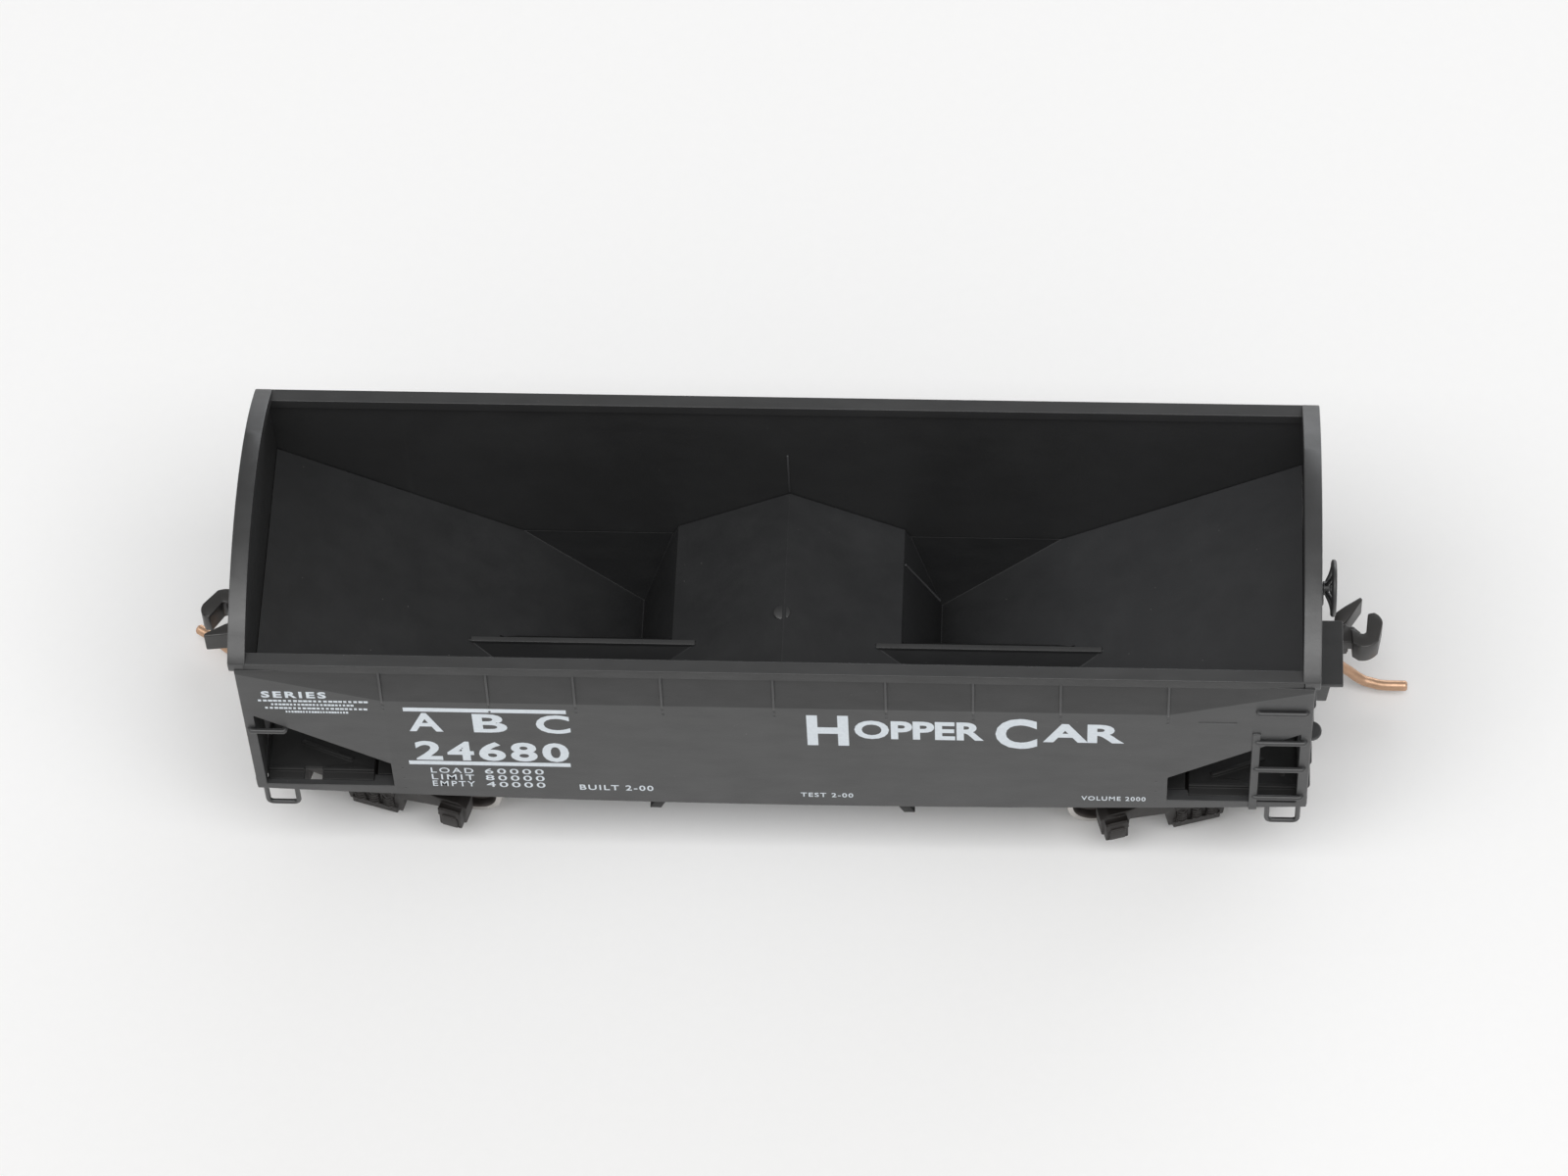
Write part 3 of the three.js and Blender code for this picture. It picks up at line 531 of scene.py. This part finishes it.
def past_last_rib(x):
    """0 up to the last rib and 1 at the corner post."""
    return max(0.0, (abs(x) - RIB_X[-1]) / (HALF - RIB_X[-1]))


def break_height(x):
    """Height at which the side starts to lean in; it climbs to the top at the corners."""
    return BREAK_Z + past_last_rib(x) * (CHORD_LOW - 0.1 - BREAK_Z)


def lean_in(x):
    return LEAN * (1 - past_last_rib(x))


def side_sheet():
    """The near side sheet, with the slanted opening at each end cut out.

    A rebate behind each opening's sill makes room for the end deck, and the sheet stops a little
    short of the end walls, so that their faces don't lie on each other.
    """
    end = HALF - 0.04
    top = CHORD_LOW + 0.2
    stations = sorted({*(end * k / 12 for k in range(-12, 13)), RIB_X[-1], -RIB_X[-1]})
    sections = [[
        (x, -SIDE_Y, side_bottom(x)), (x, -SIDE_Y, break_height(x)), (x, -SIDE_Y + lean_in(x), top),
        (x, -SIDE_Y + WALL, top), (x, -SIDE_Y + WALL, side_bottom(x)),
    ] for x in stations]
    sheet = temporary(loft(sections, 0))
    inner, outer, low, high, slope = 23.6, 31.42, 8.2, 10.9, 0.69
    sill, deck_inner, deck_low = 0.41, inner + 1.25, 7
    tools = []
    for d in (-1, 1):
        outline = [(inner, low), (outer, low), (outer, high + slope * (outer - inner)), (inner, high)]
        opening = prism([(d * x, z) for x, z in outline], -SIDE_Y - 1, -SIDE_Y + 2, edge=0)
        rebate = block(d * deck_inner, d * (outer + 0.08), -SIDE_Y + sill, -SIDE_Y + 2, deck_low,
                       low + 0.1, 0)
        tools += [temporary(opening), temporary(rebate)]
    for tool in tools:
        modifier = sheet.modifiers.new("opening", "BOOLEAN")
        modifier.object = tool
        modifier.solver = "EXACT"
    result = rounded(sheet, 0.06)
    result.normal_update()
    # The faces of the leaning upper part take the darker copy of the shell: painted shade.
    for face in result.faces:
        spot = face.calc_center_median()
        if face.normal.y < -0.9 and spot.z > break_height(spot.x):
            face.material_index = 1
    for obj in (sheet, *tools):
        bpy.data.objects.remove(obj)
    return result


def side_rib(x):
    """A thin upright rib on the leaning part, bulging a little at its foot."""
    half, proud = 0.08, 0.17
    foot = BREAK_Z - 0.25
    outer = -SIDE_Y - proud
    sections = []
    for w in (x - half, x + half):
        sections.append([
            (w, -SIDE_Y + 0.2, foot), (w, -SIDE_Y - 0.02, foot), (w, outer + 0.1, BREAK_Z + 0.15),
            (w, outer + LEAN, CHORD_LOW + 0.1), (w, -SIDE_Y + LEAN + 0.2, CHORD_LOW + 0.1)])
    heads = [rivet(x, -SIDE_Y - 0.03, foot - below, (0, -1, 0), 0.09) for below in (0.3, 0.75)]
    return [loft(sections, 0.05), heads]


def rung(x0, x1, z, stand_off=0.3, radius=0.17):
    """A round ladder rung or grab iron on the near side, bent back into the sheet at both ends."""
    y = -SIDE_Y - stand_off + radius
    inside = -SIDE_Y + 0.15
    route = [(x0 + radius, inside, z), (x0 + radius, y, z), (x1 - radius, y, z), (x1 - radius, inside, z)]
    return tube(filleted(route, 0.16, 4), radius, 12)


def stirrup(x0, x1):
    """Bent wire step below a corner."""
    radius = 0.16
    y, low, high = -SIDE_Y + 0.22, 5.55 + radius, 8.1
    route = [(x0 + radius, y, high), (x0 + radius, y, low), (x1 - radius, y, low), (x1 - radius, y, high)]
    return tube(filleted(route, 0.4), radius, 12)


def near_side():
    ladder_x = 28.55
    stile = block(ladder_x, ladder_x + 0.5, -SIDE_Y - 0.12, -SIDE_Y + 0.45, 7.45, 16.4, 0.06)
    rungs = [rung(ladder_x + 0.1, HALF - 0.22, z) for z in (18.9, 15.5, 12.35, 9.0)]
    grab = rung(-HALF + 0.15, -29.5, 14.8)
    ribs = [side_rib(x) for x in (*RIB_X, *(-x for x in RIB_X[1:]))]
    bolts = [rivet(x, -SIDE_Y, z, (0, -1, 0), 0.1) for x in (-22.9, 22.9) for z in (8.0, 9.2, 10.4)]
    card_rail = block(25.3, 27.6, -SIDE_Y - 0.035, -SIDE_Y + 0.1, 17.45, 17.58, 0.02)
    steps = [stirrup(-31.75, -29.55), stirrup(29.55, 31.75)]
    return [side_sheet(), stile, rungs, grab, ribs, bolts, card_rail, steps]


def top_chord():
    """Bar along the top of the near side, from cap to cap."""
    outline = [(-CHORD_OUT, CHORD_LOW), (-CHORD_OUT, CHORD_TOP), (-CHORD_IN, CHORD_TOP),
               (-CHORD_IN, CHORD_LOW)]
    chord = prism(outline, -CAP_IN - 0.2, CAP_IN + 0.2, "x", 0.07)
    chord.normal_update()
    # The outer faces take the darker copy of the shell: painted shade.
    for face in chord.faces:
        if face.normal.y < -0.9:
            face.material_index = 1
    return chord


def arch(drop, half=CHORD_OUT):
    """Points along the arch over an end, from one side to the other, dropped below its top edge."""
    steps = 40
    radius = (CHORD_OUT ** 2 + ARCH_RISE ** 2) / (2 * ARCH_RISE)
    centre = CHORD_TOP + ARCH_RISE - radius
    ys = [half * (1 - 2 * i / steps) for i in range(steps + 1)]
    return [(y, centre + math.sqrt(radius ** 2 - y ** 2) - drop) for y in ys]


def end_cap():
    return prism([*arch(0), *reversed(arch(0.8))], CAP_IN, CAP_OUT, "x", 0.07)


def end_sheet():
    outline = [*arch(0.4, CHORD_OUT - 0.15), (-SIDE_Y + 0.2, END_SHEET_LOW), (SIDE_Y - 0.2, END_SHEET_LOW)]
    return prism(outline, END_IN, HALF, "x", 0.05)


def end_post(y, half):
    return block(END_IN, HALF - 0.02, y - half, y + half, POST_LOW, POST_TOP, 0.06)


def end_rung(z):
    radius, y0, y1 = 0.13, -9.37, -7.13
    foot, x = END_IN + 0.2, HALF + 0.15 - radius
    route = [(foot, y0, z), (x, y0, z), (x, y1, z), (foot, y1, z)]
    return tube(filleted(route, 0.16, 4), radius, 12)


def end_frame():
    """Sill, posts, ladder, round lug, gusset plates and rivets of one end."""
    sill = block(END_IN - 0.1, HALF, -SIDE_Y + 0.05, SIDE_Y - 0.05, 7.78, 8.8, 0.08)
    corner = SIDE_Y - 0.5
    posts = [end_post(y, half)
             for y, half in ((-corner, 0.42), (corner, 0.42), (-4.1, 0.3), (4.1, 0.3), (-7.1, 0.22))]
    rungs = [end_rung(z) for z in (18.6, 15.2, 12, 9.2)]
    lug_x, lug_y, lug_z = HALF - 0.05, -9, 15.05
    lug = bar((lug_x, lug_y, lug_z), (lug_x, lug_y, lug_z + 0.28), 0.66, edge=0.07)
    gussets = [block(END_IN + 0.02, END_IN + 0.27, y, y + 2.7, POST_LOW, POST_TOP, 0.04)
               for y in (-9.6, 6.9)]
    rivets = [rivet(HALF, y, END_SHEET_LOW + 0.35, (1, 0, 0), 0.11)
              for y in (-7.6, -6.2, -4.1, -2, 0, 2, 4.1, 6.2, 8.4)]
    return [sill, posts, rungs, lug, gussets, rivets]


# The brake wheel's centre and radius, the plane of its rim, and the height and reach of the step.
BRAKE = {"y": -2.0, "z": 20.15, "radius": 1.75, "plane": 33.25, "step": 12.45, "out": 34.15}


def brake_mountings():
    """Gear housing for the brake wheel, its rod, and the step below it."""
    y, z, step, out = (BRAKE[k] for k in ("y", "z", "step", "out"))
    housing = block(HALF - 0.1, HALF + 0.45, y - 0.75, y + 0.75, z - 1.9, z + 0.8, 0.12)
    boss = bar((HALF + 0.4, y, z - 1.2), (HALF + 0.6, y, z - 1.2), 0.42)
    rod = bar((HALF + 0.25, y, z - 1.8), (HALF + 0.25, y, step - 0.1), 0.12)
    step_plate = block(HALF - 0.1, out, y - 2.3, y + 2.3, step, step + 0.3, 0.06)
    brackets = []
    for side in (y - 2.2, 0.0):
        outline = [(HALF - 0.2, step - 1.8), (HALF + 1.1, step - 1.8), (out - 0.75, step + 0.1),
                   (HALF - 0.2, step + 0.1)]
        brackets.append(prism(outline, side, side + 0.3, "y", 0.06))
    return [housing, boss, rod, step_plate, brackets, end_post(0.25, 0.25)]


def build_body():
    made = []
    for name, turn in (("near", NEAR), ("far", FAR)):
        made.append(piece(f"side_{name}", [moved(bm, turn) for bm in flat_list(near_side())],
                          SHELL, "car_body", smooth=33, second=PAINTED_SHADE_SHELL))
        made.append(piece(f"top_chord_{name}", moved(top_chord(), turn), SHELL, "car_body",
                          second=PAINTED_SHADE_SHELL))
    for end, turn in (("b", NEAR), ("a", FAR)):
        parts = [end_sheet(), end_frame()]
        made.append(piece(f"end_cap_{end}", moved(end_cap(), turn), SHELL, "car_body"))
        made.append(piece(f"end_wall_{end}", [moved(bm, turn) for bm in flat_list(parts)],
                          SHELL, "car_body"))
    made.append(piece("brake_step_and_housing", brake_mountings(), SHELL, "car_body"))
    for obj in made:
        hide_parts("body_shell")


# ------------------------------------------------------------------ inside and underneath

def build_inside():
    """The lining, with the marks that its mould left, an ejector pin's disc and seams, and a thin strand
    down a steep sheet; the seams and the strand are paler than the plastic, a painted highlight.
    """
    pin_x, pin_y, pin_z = -0.14, 0.5, 12.3
    pin_mark = lathe([(0, -0.3), (0.5, -0.3), (0.5, 0.0), (0.44, 0.03), (0, 0.03)], 28,
                     along((pin_x, pin_y, pin_z), (pin_x, pin_y, pin_z + 1)))
    wall = SIDE_Y - WALL
    seams = [block(-0.06, 0.06, y - 0.04, y + 0.04, 12.5, 16.6, 0.01) for y in (-wall, wall)]
    pale_strand = tube([(7.2, 6.58, 8.3), (8.3, 6.8, 5.75), (9.3, 7.0, 3.4)], 0.07, 8)
    ridge_start, ridge_end, ridge_low, ridge_top = 5.6, 19.5, 9.1, 9.38
    ridges = [block(d * ridge_start, d * ridge_end, -0.18, 0.18, ridge_low, ridge_top) for d in (-1, 1)]
    piece("hopper_lining", refined("hopper_floor", 0.03), INSIDE, "car_body",
          ["hopper_floor"])
    piece("lining_seams", [seams, pale_strand], PAINTED_HIGHLIGHT, "car_body")
    piece("hood_ridges", [ridges, pin_mark], SHELL, "car_body")


def build_underneath():
    piece("centre_sill", refined("underframe", 0.06), UNDER, "car_body", ["underframe"])
    joint_in, joint_out, joint_low, joint_top = 31.2, 31.7, 7.82, 8.06
    strips = [block(d * joint_in, d * joint_out, -9.0, 9.0, joint_low, joint_top, 0.02) for d in (-1, 1)]
    piece("deck_joint_strips", strips, UNDER, "car_body")
    for end in "ab":
        piece(f"doors_{end}", refined(f"outlet_doors_{end}", 0.05), UNDER, "car_body",
              [f"outlet_doors_{end}"])
        piece(f"kingpin_head_{end}", refined(f"kingpin_{end}", 0.08), UNDER, "car_body",
              [f"kingpin_{end}"])
        piece(f"wedge_weight_{end}", refined(f"slope_weight_{end}", 0.12), BLACKENED, "car_body",
              [f"slope_weight_{end}"])
    piece("prism_weight", refined("middle_weight", 0.15), BLACKENED, "car_body",
          ["middle_weight"])
    tank_x, tank_z = 25.4, 9.3
    pipes = [tube(filleted(route, 0.3), 0.12, 10) for route in (
        [(tank_x, 5.0, tank_z), (tank_x, 6.2, tank_z), (tank_x, 6.2, 8.4)],
        [(24.9, -0.6, 9.2), (24.2, -0.6, 9.2), (24.2, -2.2, 9.2), (24.4, -2.9, 9.2)])]
    bands = [lathe([(0.96, -0.12), (1.03, -0.12), (1.03, 0.12), (0.96, 0.12)], 32,
                   along((tank_x, y, tank_z), (tank_x, y + 1, tank_z))) for y in (2.0, 4.4)]
    piece("brake_cylinder_and_reservoir", [refined("brake_gear", 0.06), pipes, bands], UNDER, "car_body",
          ["brake_gear"])


def build_brake_wheel():
    """Dished wheel with five spokes, a rim that swells a little at each spoke, and a nut."""
    y, z, radius, plane = (BRAKE[k] for k in ("y", "z", "radius", "plane"))
    wire, spoke_count, first_spoke = 0.16, 5, 0.3
    steps, ring_sides = 72, 14
    rim = bmesh.new()
    rings = []
    for i in range(steps):
        a = 2 * math.pi * i / steps
        swell = 0.012 * math.cos(spoke_count * (a - first_spoke))
        out = Vector((0, math.cos(a), math.sin(a)))
        centre = Vector((plane, y, z)) + out * (radius - wire - 0.02 + swell)
        rings.append([rim.verts.new(centre + wire * (out * math.cos(b) + Vector((1, 0, 0)) * math.sin(b)))
                      for b in (2 * math.pi * k / ring_sides for k in range(ring_sides))])
    for i, ring in enumerate(rings):
        after = rings[(i + 1) % steps]
        for k in range(ring_sides):
            j = (k + 1) % ring_sides
            rim.faces.new((ring[k], ring[j], after[j], after[k]))
    bmesh.ops.recalc_face_normals(rim, faces=rim.faces)
    hub_x = HALF + 0.5
    spokes = []
    for i in range(spoke_count):
        a = 2 * math.pi * i / spoke_count + first_spoke
        reach = radius - wire
        foot = Vector((hub_x + 0.2, y + 0.3 * math.cos(a), z + 0.3 * math.sin(a)))
        tip = Vector((plane, y + reach * math.cos(a), z + reach * math.sin(a)))
        middle = (foot + tip) / 2 + Vector((0.06, 0, 0))
        spokes.append(tube(smooth_path([foot, middle, tip], 5), 0.12, 10))
    hub = bar((hub_x, y, z), (hub_x + 0.4, y, z), 0.42)
    nut = bar((hub_x + 0.38, y, z), (hub_x + 0.55, y, z), 0.22, sides=6, edge=0.03)
    peg = bar((HALF - 0.2, y, z), (hub_x + 0.2, y, z), 0.25)
    piece("hand_brake_wheel", [rim, spokes, hub, nut, peg], SHELL, "brake_wheel",
          ["brake_wheel"])


# ------------------------------------------------------------------ trucks

def truck_place(end):
    """The matrix from a truck's own frame, with +X towards its coupler, to the car's."""
    sign, yaw = (1, TRUCK_YAW) if end == "b" else (-1, 180 - TRUCK_YAW)
    return Matrix.Translation((sign * TRUCK_X, 0, 0)) @ Matrix.Rotation(math.radians(yaw), 4, "Z")


def coupler_place(end):
    """The matrix from a coupler's own frame to the car's; each rests a little askew in its box."""
    slide, yaw = (0, -2.5) if end == "b" else (SLACK, 1)
    return (truck_place(end) @ Matrix.Translation((PIVOT_X - slide, 0, 0))
            @ Matrix.Rotation(math.radians(yaw), 4, "Z"))


def helix(start, end, radius, turns, wire, sides=8, per_turn=14):
    place = along(start, end)
    length = (Vector(end) - Vector(start)).length
    count = int(turns * per_turn)
    path = [place @ Vector((radius * math.cos(2 * math.pi * turns * i / count),
                            radius * math.sin(2 * math.pi * turns * i / count), length * i / count))
            for i in range(count + 1)]
    return tube(path, wire, sides)


def side_frame_details():
    """Spring coils, bolt heads and bearing lids on both side frames, in the truck's own frame."""
    face, box_out = 7.65, 8.15
    coil_y = face + 0.02
    parts = []
    for turn in (NEAR, FAR):
        one = [helix((x, coil_y, 1.95), (x, coil_y, 3.2), 0.3, 4.5, 0.085) for x in (-0.95, 0, 0.95)]
        for d in (-1, 1):
            x = d * HALF_BASE
            one.append(block(x - 0.5, x + 0.5, box_out - 0.05, box_out + 0.14, 2.35, 3.35, 0.06))
            one.append(bar((x - 0.45, box_out + 0.1, 3.45), (x + 0.45, box_out + 0.1, 3.45), 0.1, sides=12,
                           edge=0.02))
            for z in (2.3, 4.05):
                for side in (-0.55, 0.55):
                    one.append(rivet(x + side, box_out + 0.02, z, (0, 1, 0), 0.09))
        for x in (-1.15, 1.15):
            one.append(rivet(x, face + 0.2, 3.6, (0, 1, 0), 0.12))
        parts.append([moved(bm, turn) for bm in flat_list(one)])
    return parts


def wheel():
    """Flanged wheel on the +Y side of its axle, bright on its rim and dark on its dished plate."""
    flange, tread, inner, outer, rim_inside = 3.1, 2.6, 3.85, 5.8, 2.15
    profile = [
        (0.5, inner), (1.25, inner), (1.45, inner + 0.18), (2.2, inner + 0.18), (2.35, inner),
        (flange - 0.14, inner), (flange - 0.03, inner + 0.08), (flange, inner + 0.2),
        (flange - 0.05, inner + 0.33), (tread + 0.16, inner + 0.52), (tread + 0.04, inner + 0.66),
        (tread - 0.03, outer - 0.1), (tread - 0.1, outer), (2.2, outer), (2.08, outer - 0.12),
        (1.98, outer - 0.5), (1.5, outer - 0.62), (1.15, outer - 0.5), (1.0, outer - 0.14),
        (0.9, outer - 0.06), (0.5, outer - 0.06),
    ]
    bm = lathe(profile, 72, Matrix.Rotation(-math.pi / 2, 4, "X"))
    for face in bm.faces:
        spot = face.calc_center_median()
        if math.hypot(spot.x, spot.z) > rim_inside and spot.y > inner + 0.05:
            face.material_index = 1
    return bm


def axle():
    half = [(0, 7.12), (0.06, 7.08), (0.44, 6.5), (0.49, 6.42), (0.49, 6.2), (0.72, 6.0), (0.72, 5.72),
            (0.49, 5.7), (0.49, 3.9), (0.7, 3.84), (0.7, 3.7), (0.49, 3.4), (0.46, 0.4)]
    profile = half + [(r, -h) for r, h in reversed(half)]
    return lathe(profile, 32, Matrix.Rotation(-math.pi / 2, 4, "X"))


def trip_pin(reach, sideways):
    """Bent wire below a coupler, in the coupler's own frame.

    After its drop it turns to lie just above the floor, and the bend's points are shares of its
    reach forwards and sideways, and heights above the floor end.
    """
    x, y, top, tip = 3.2, 0.1, 5.95, 1.0
    drop = [(x, y, top), (x, y, 4.6), (x + 0.08, y, 3.7), (x + 0.38, y, 2.8)]
    bend = [(0.225, 0.05, 0.95), (0.315, 0.17, 0.5), (0.415, 0.32, 0.15), (0.52, 0.47, 0.02),
            (0.67, 0.70, -0.02), (1, 1, 0)]
    low = [(x + u * reach, y + v * sideways, tip + w) for u, v, w in bend]
    return tube(smooth_path(drop + low), 0.33, 20)


def build_truck(end, pin_reach, pin_sideways):
    place = truck_place(end)
    frame_parts = [refined(f"truck_frame_{end}", 0.07)]
    frame_parts += [moved(bm, place) for bm in flat_list(side_frame_details())]
    piece(f"truck_{end}", frame_parts, TRUCK, f"truck_{end}", [f"truck_frame_{end}"])
    piece(f"coupler_box_lid_{end}", refined(f"coupler_lid_{end}", 0.07), TRUCK, f"truck_{end}",
          [f"coupler_lid_{end}"])
    piece(f"coupler_pin_{end}", refined(f"coupler_pivot_pin_{end}", 0.05), STEEL, f"truck_{end}",
          [f"coupler_pivot_pin_{end}"])
    spring_x, spring_z = 6.16, 6.1
    coil = helix((spring_x, -1.3, spring_z), (spring_x, 1.3, spring_z), 0.24, 9, 0.06)
    piece(f"centring_spring_{end}", moved(coil, place), STEEL, f"truck_{end}",
          [f"coupler_spring_{end}"])
    for where, x in (("inner", -HALF_BASE), ("outer", HALF_BASE)):
        body = f"wheelset_{end}_{where}"
        spot = place @ Matrix.Translation((x, 0, AXLE_Z))
        piece(f"turned_axle_{end}_{where}", moved(axle(), spot), STEEL, body,
              [f"axle_{end}_{where}"])
        for side, turn in (("left", NEAR), ("right", FAR)):
            piece(f"turned_wheel_{end}_{where}_{side}", moved(wheel(), spot @ turn), WHEEL, body,
                  [f"wheel_{end}_{where}_{side}"], second=TREAD)
    for part in ("arm", "knuckle"):
        piece(f"{part}_{end}", refined(f"coupler_{part}_{end}", 0.09), COUPLER, f"coupler_{part}_{end}",
              [f"coupler_{part}_{end}"])
    pin = moved(trip_pin(pin_reach, pin_sideways), coupler_place(end))
    piece(f"bent_trip_pin_{end}", pin, COPPER, f"coupler_arm_{end}", [f"trip_pin_{end}"])


# ------------------------------------------------------------------ lettering

def words(text, x, z, height, width, weight=0.0, spacing=1.0):
    """Flat printed characters on the near side, from x to x + width, standing on height z."""
    proud = 0.006
    curve = bpy.data.curves.new("words", "FONT")
    curve.body = text
    curve.resolution_u = 4
    curve.offset = weight
    curve.space_character = spacing
    curve.extrude = 0.004
    obj = bpy.data.objects.new("words", curve)
    bpy.context.scene.collection.objects.link(obj)
    graph = bpy.context.evaluated_depsgraph_get()
    mesh = bpy.data.meshes.new_from_object(obj.evaluated_get(graph))
    bpy.data.objects.remove(obj)
    bm = bmesh.new()
    bm.from_mesh(mesh)
    xs = [v.co.x for v in bm.verts]
    ys = [v.co.y for v in bm.verts]
    left, low = min(xs), min(ys)
    across, up = width / (max(xs) - left), height / (max(ys) - low)
    for v in bm.verts:
        u, w, depth = v.co
        v.co = (x + (u - left) * across, -SIDE_Y - proud + depth, z + (w - low) * up)
    bmesh.ops.recalc_face_normals(bm, faces=bm.faces)
    return bm


def rule(x0, x1, z, thick=0.42):
    """A printed line."""
    return block(x0, x1, -SIDE_Y - 0.01, -SIDE_Y + 0.01, z - thick / 2, z + thick / 2, 0)


def dashes(x0, x1, z, count, height=0.2):
    """A line of print too small to read, as a row of short dashes of uneven length."""
    parts = []
    step = (x1 - x0) / count
    filled, uneven = 0.72, 0.14
    for k in range(count):
        start = x0 + k * step
        length = step * (filled + uneven * math.sin(7.3 * k + z))
        parts.append(rule(start, start + length, z, height))
    return parts


def side_lettering():
    """Generic words and figures: a mark over a number, lines of data, dates, and the car's kind."""
    parts = [rule(-22.3, -12.5, 17.45), rule(-22.45, -12.6, 11.15)]
    for letter, x in zip("ABC", (-22.1, -18.2, -14.4)):
        parts.append(words(letter, x, 14.9, 2.15, 2.05, weight=0.025))
    for digit, x in zip("24680", (-21.95, -20.02, -18.09, -16.16, -14.23)):
        parts.append(words(digit, x, 11.5, 2.25, 1.62, weight=0.03))
    for label, value, z in (("LOAD", "60000", 9.95), ("LIMIT", "80000", 9.15), ("EMPTY", "40000", 8.35)):
        parts.append(words(label, -21.2, z, 0.62, 2.6, weight=0.008, spacing=1.3))
        parts.append(words(value, -17.9, z, 0.62, 3.6, weight=0.008, spacing=1.3))
    for text, x, z, height, width in (("BUILT 2-00", -12.2, 8.2, 0.62, 4.5),
                                      ("TEST 2-00", 1.3, 7.85, 0.5, 3.2),
                                      ("VOLUME 2000", 18.4, 8.05, 0.5, 3.9)):
        parts.append(words(text, x, z, height, width, weight=0.012, spacing=1.2))
    parts.append(words("SERIES", -30.7, 18.55, 0.74, 3.9, weight=0.035, spacing=1.3))
    for line, (x0, x1) in enumerate(((-30.95, -24.3), (-30.2, -25.2), (-30.6, -24.4), (-29.4, -25.6))):
        parts.append(dashes(x0, x1, 18.2 - 0.42 * line, 22))
    capital_room = 2.85
    for capital, rest, x, width in (("H", "OPPER", 1.9, 10.6), ("C", "AR", 13.2, 7.7)):
        parts.append(words(capital, x, 14.1, 3.5, 2.5, weight=0.035))
        parts.append(words(rest, x + capital_room, 14.95, 2.15, width - capital_room, weight=0.035))
    return parts


def build_lettering():
    for name, turn in (("near", NEAR), ("far", FAR)):
        parts = [moved(bm, turn) for bm in flat_list(side_lettering())]
        piece(f"printing_{name}", parts, INK, "car_body", weighted=False)


# ------------------------------------------------------------------ studio

def build_studio():
    """A paper floor, an even sky and two soft lamps."""
    reach = 3.0
    bm = bmesh.new()
    bmesh.ops.create_grid(bm, x_segments=8, y_segments=8, size=reach)
    mesh = bpy.data.meshes.new("floor")
    bm.to_mesh(mesh)
    bm.free()
    mesh.materials.append(paper_floor("paper_floor"))
    floor = bpy.data.objects.new("floor", mesh)
    bpy.context.scene.collection.objects.link(floor)
    world = bpy.data.worlds.new("studio")
    bpy.context.scene.world = world
    world.use_nodes = True
    sky(world.node_tree)
    lamp("overhead", (0, -0.36, 0.93), (1.4, 0.5), 8.0, (0.995, 0.995, 0.995))
    lamp("behind", (0.35, 0.92, 0.24), (1.1, 0.35), 4.0, (0.94, 0.965, 1.0))
    bpy.context.scene.view_settings.view_transform = "Standard"


def sky(tree):
    """Even light from the front, from -Y, fading to a darker ceiling behind the car."""
    backdrop = tree.nodes["Background"]
    backdrop.inputs["Color"].default_value = (1.0, 0.99, 0.975, 1)
    place = tree.nodes.new("ShaderNodeTexCoord")
    split = tree.nodes.new("ShaderNodeSeparateXYZ")
    tree.links.new(place.outputs["Generated"], split.inputs["Vector"])
    fade = tree.nodes.new("ShaderNodeMapRange")
    for name, value in {"From Min": -0.8, "From Max": 0.6, "To Min": 0.58, "To Max": 0.28}.items():
        fade.inputs[name].default_value = value
    tree.links.new(split.outputs["Y"], fade.inputs["Value"])
    tree.links.new(fade.outputs["Result"], backdrop.inputs["Strength"])


def lamp(name, spot, size, watts, colour):
    """A soft rectangular light at spot, facing the car."""
    light = bpy.data.lights.new(name, "AREA")
    light.shape = "RECTANGLE"
    light.size, light.size_y = size
    light.energy = watts
    light.color = colour
    obj = bpy.data.objects.new(name, light)
    obj.location = spot
    obj.rotation_euler = (-Vector(spot)).to_track_quat("-Z", "Y").to_euler()
    obj.visible_camera = False
    bpy.context.scene.collection.objects.link(obj)


def build_camera():
    """Long lens above the near side, aimed at the middle of the car and rolled a little."""
    target = Vector((-0.07, 2.113, 12.5)) * MM
    distance = 378.84 * MM
    elevation, yaw, roll = (math.radians(a) for a in (58.09, 5.34, -3.57))
    back = Vector((math.sin(yaw) * math.cos(elevation), -math.cos(yaw) * math.cos(elevation),
                   math.sin(elevation)))
    right = Vector((0, 0, 1)).cross(back).normalized()
    up = back.cross(right)
    turned_right = right * math.cos(roll) + up * math.sin(roll)
    turned_up = up * math.cos(roll) - right * math.sin(roll)
    data = bpy.data.cameras.new("camera")
    data.lens = 141.5
    data.sensor_width = 36
    data.clip_start = 0.01
    data.clip_end = 10
    camera = bpy.data.objects.new("camera", data)
    axes = Matrix((turned_right, turned_up, back)).transposed().to_4x4()
    camera.matrix_world = Matrix.Translation(target + back * distance) @ axes
    bpy.context.scene.collection.objects.link(camera)
    bpy.context.scene.camera = camera


build_camera()
build_studio()
build_body()
build_inside()
build_underneath()
build_brake_wheel()
build_truck("b", 4.45, -1.31)
build_truck("a", 4.5, -1.5)
build_lettering()
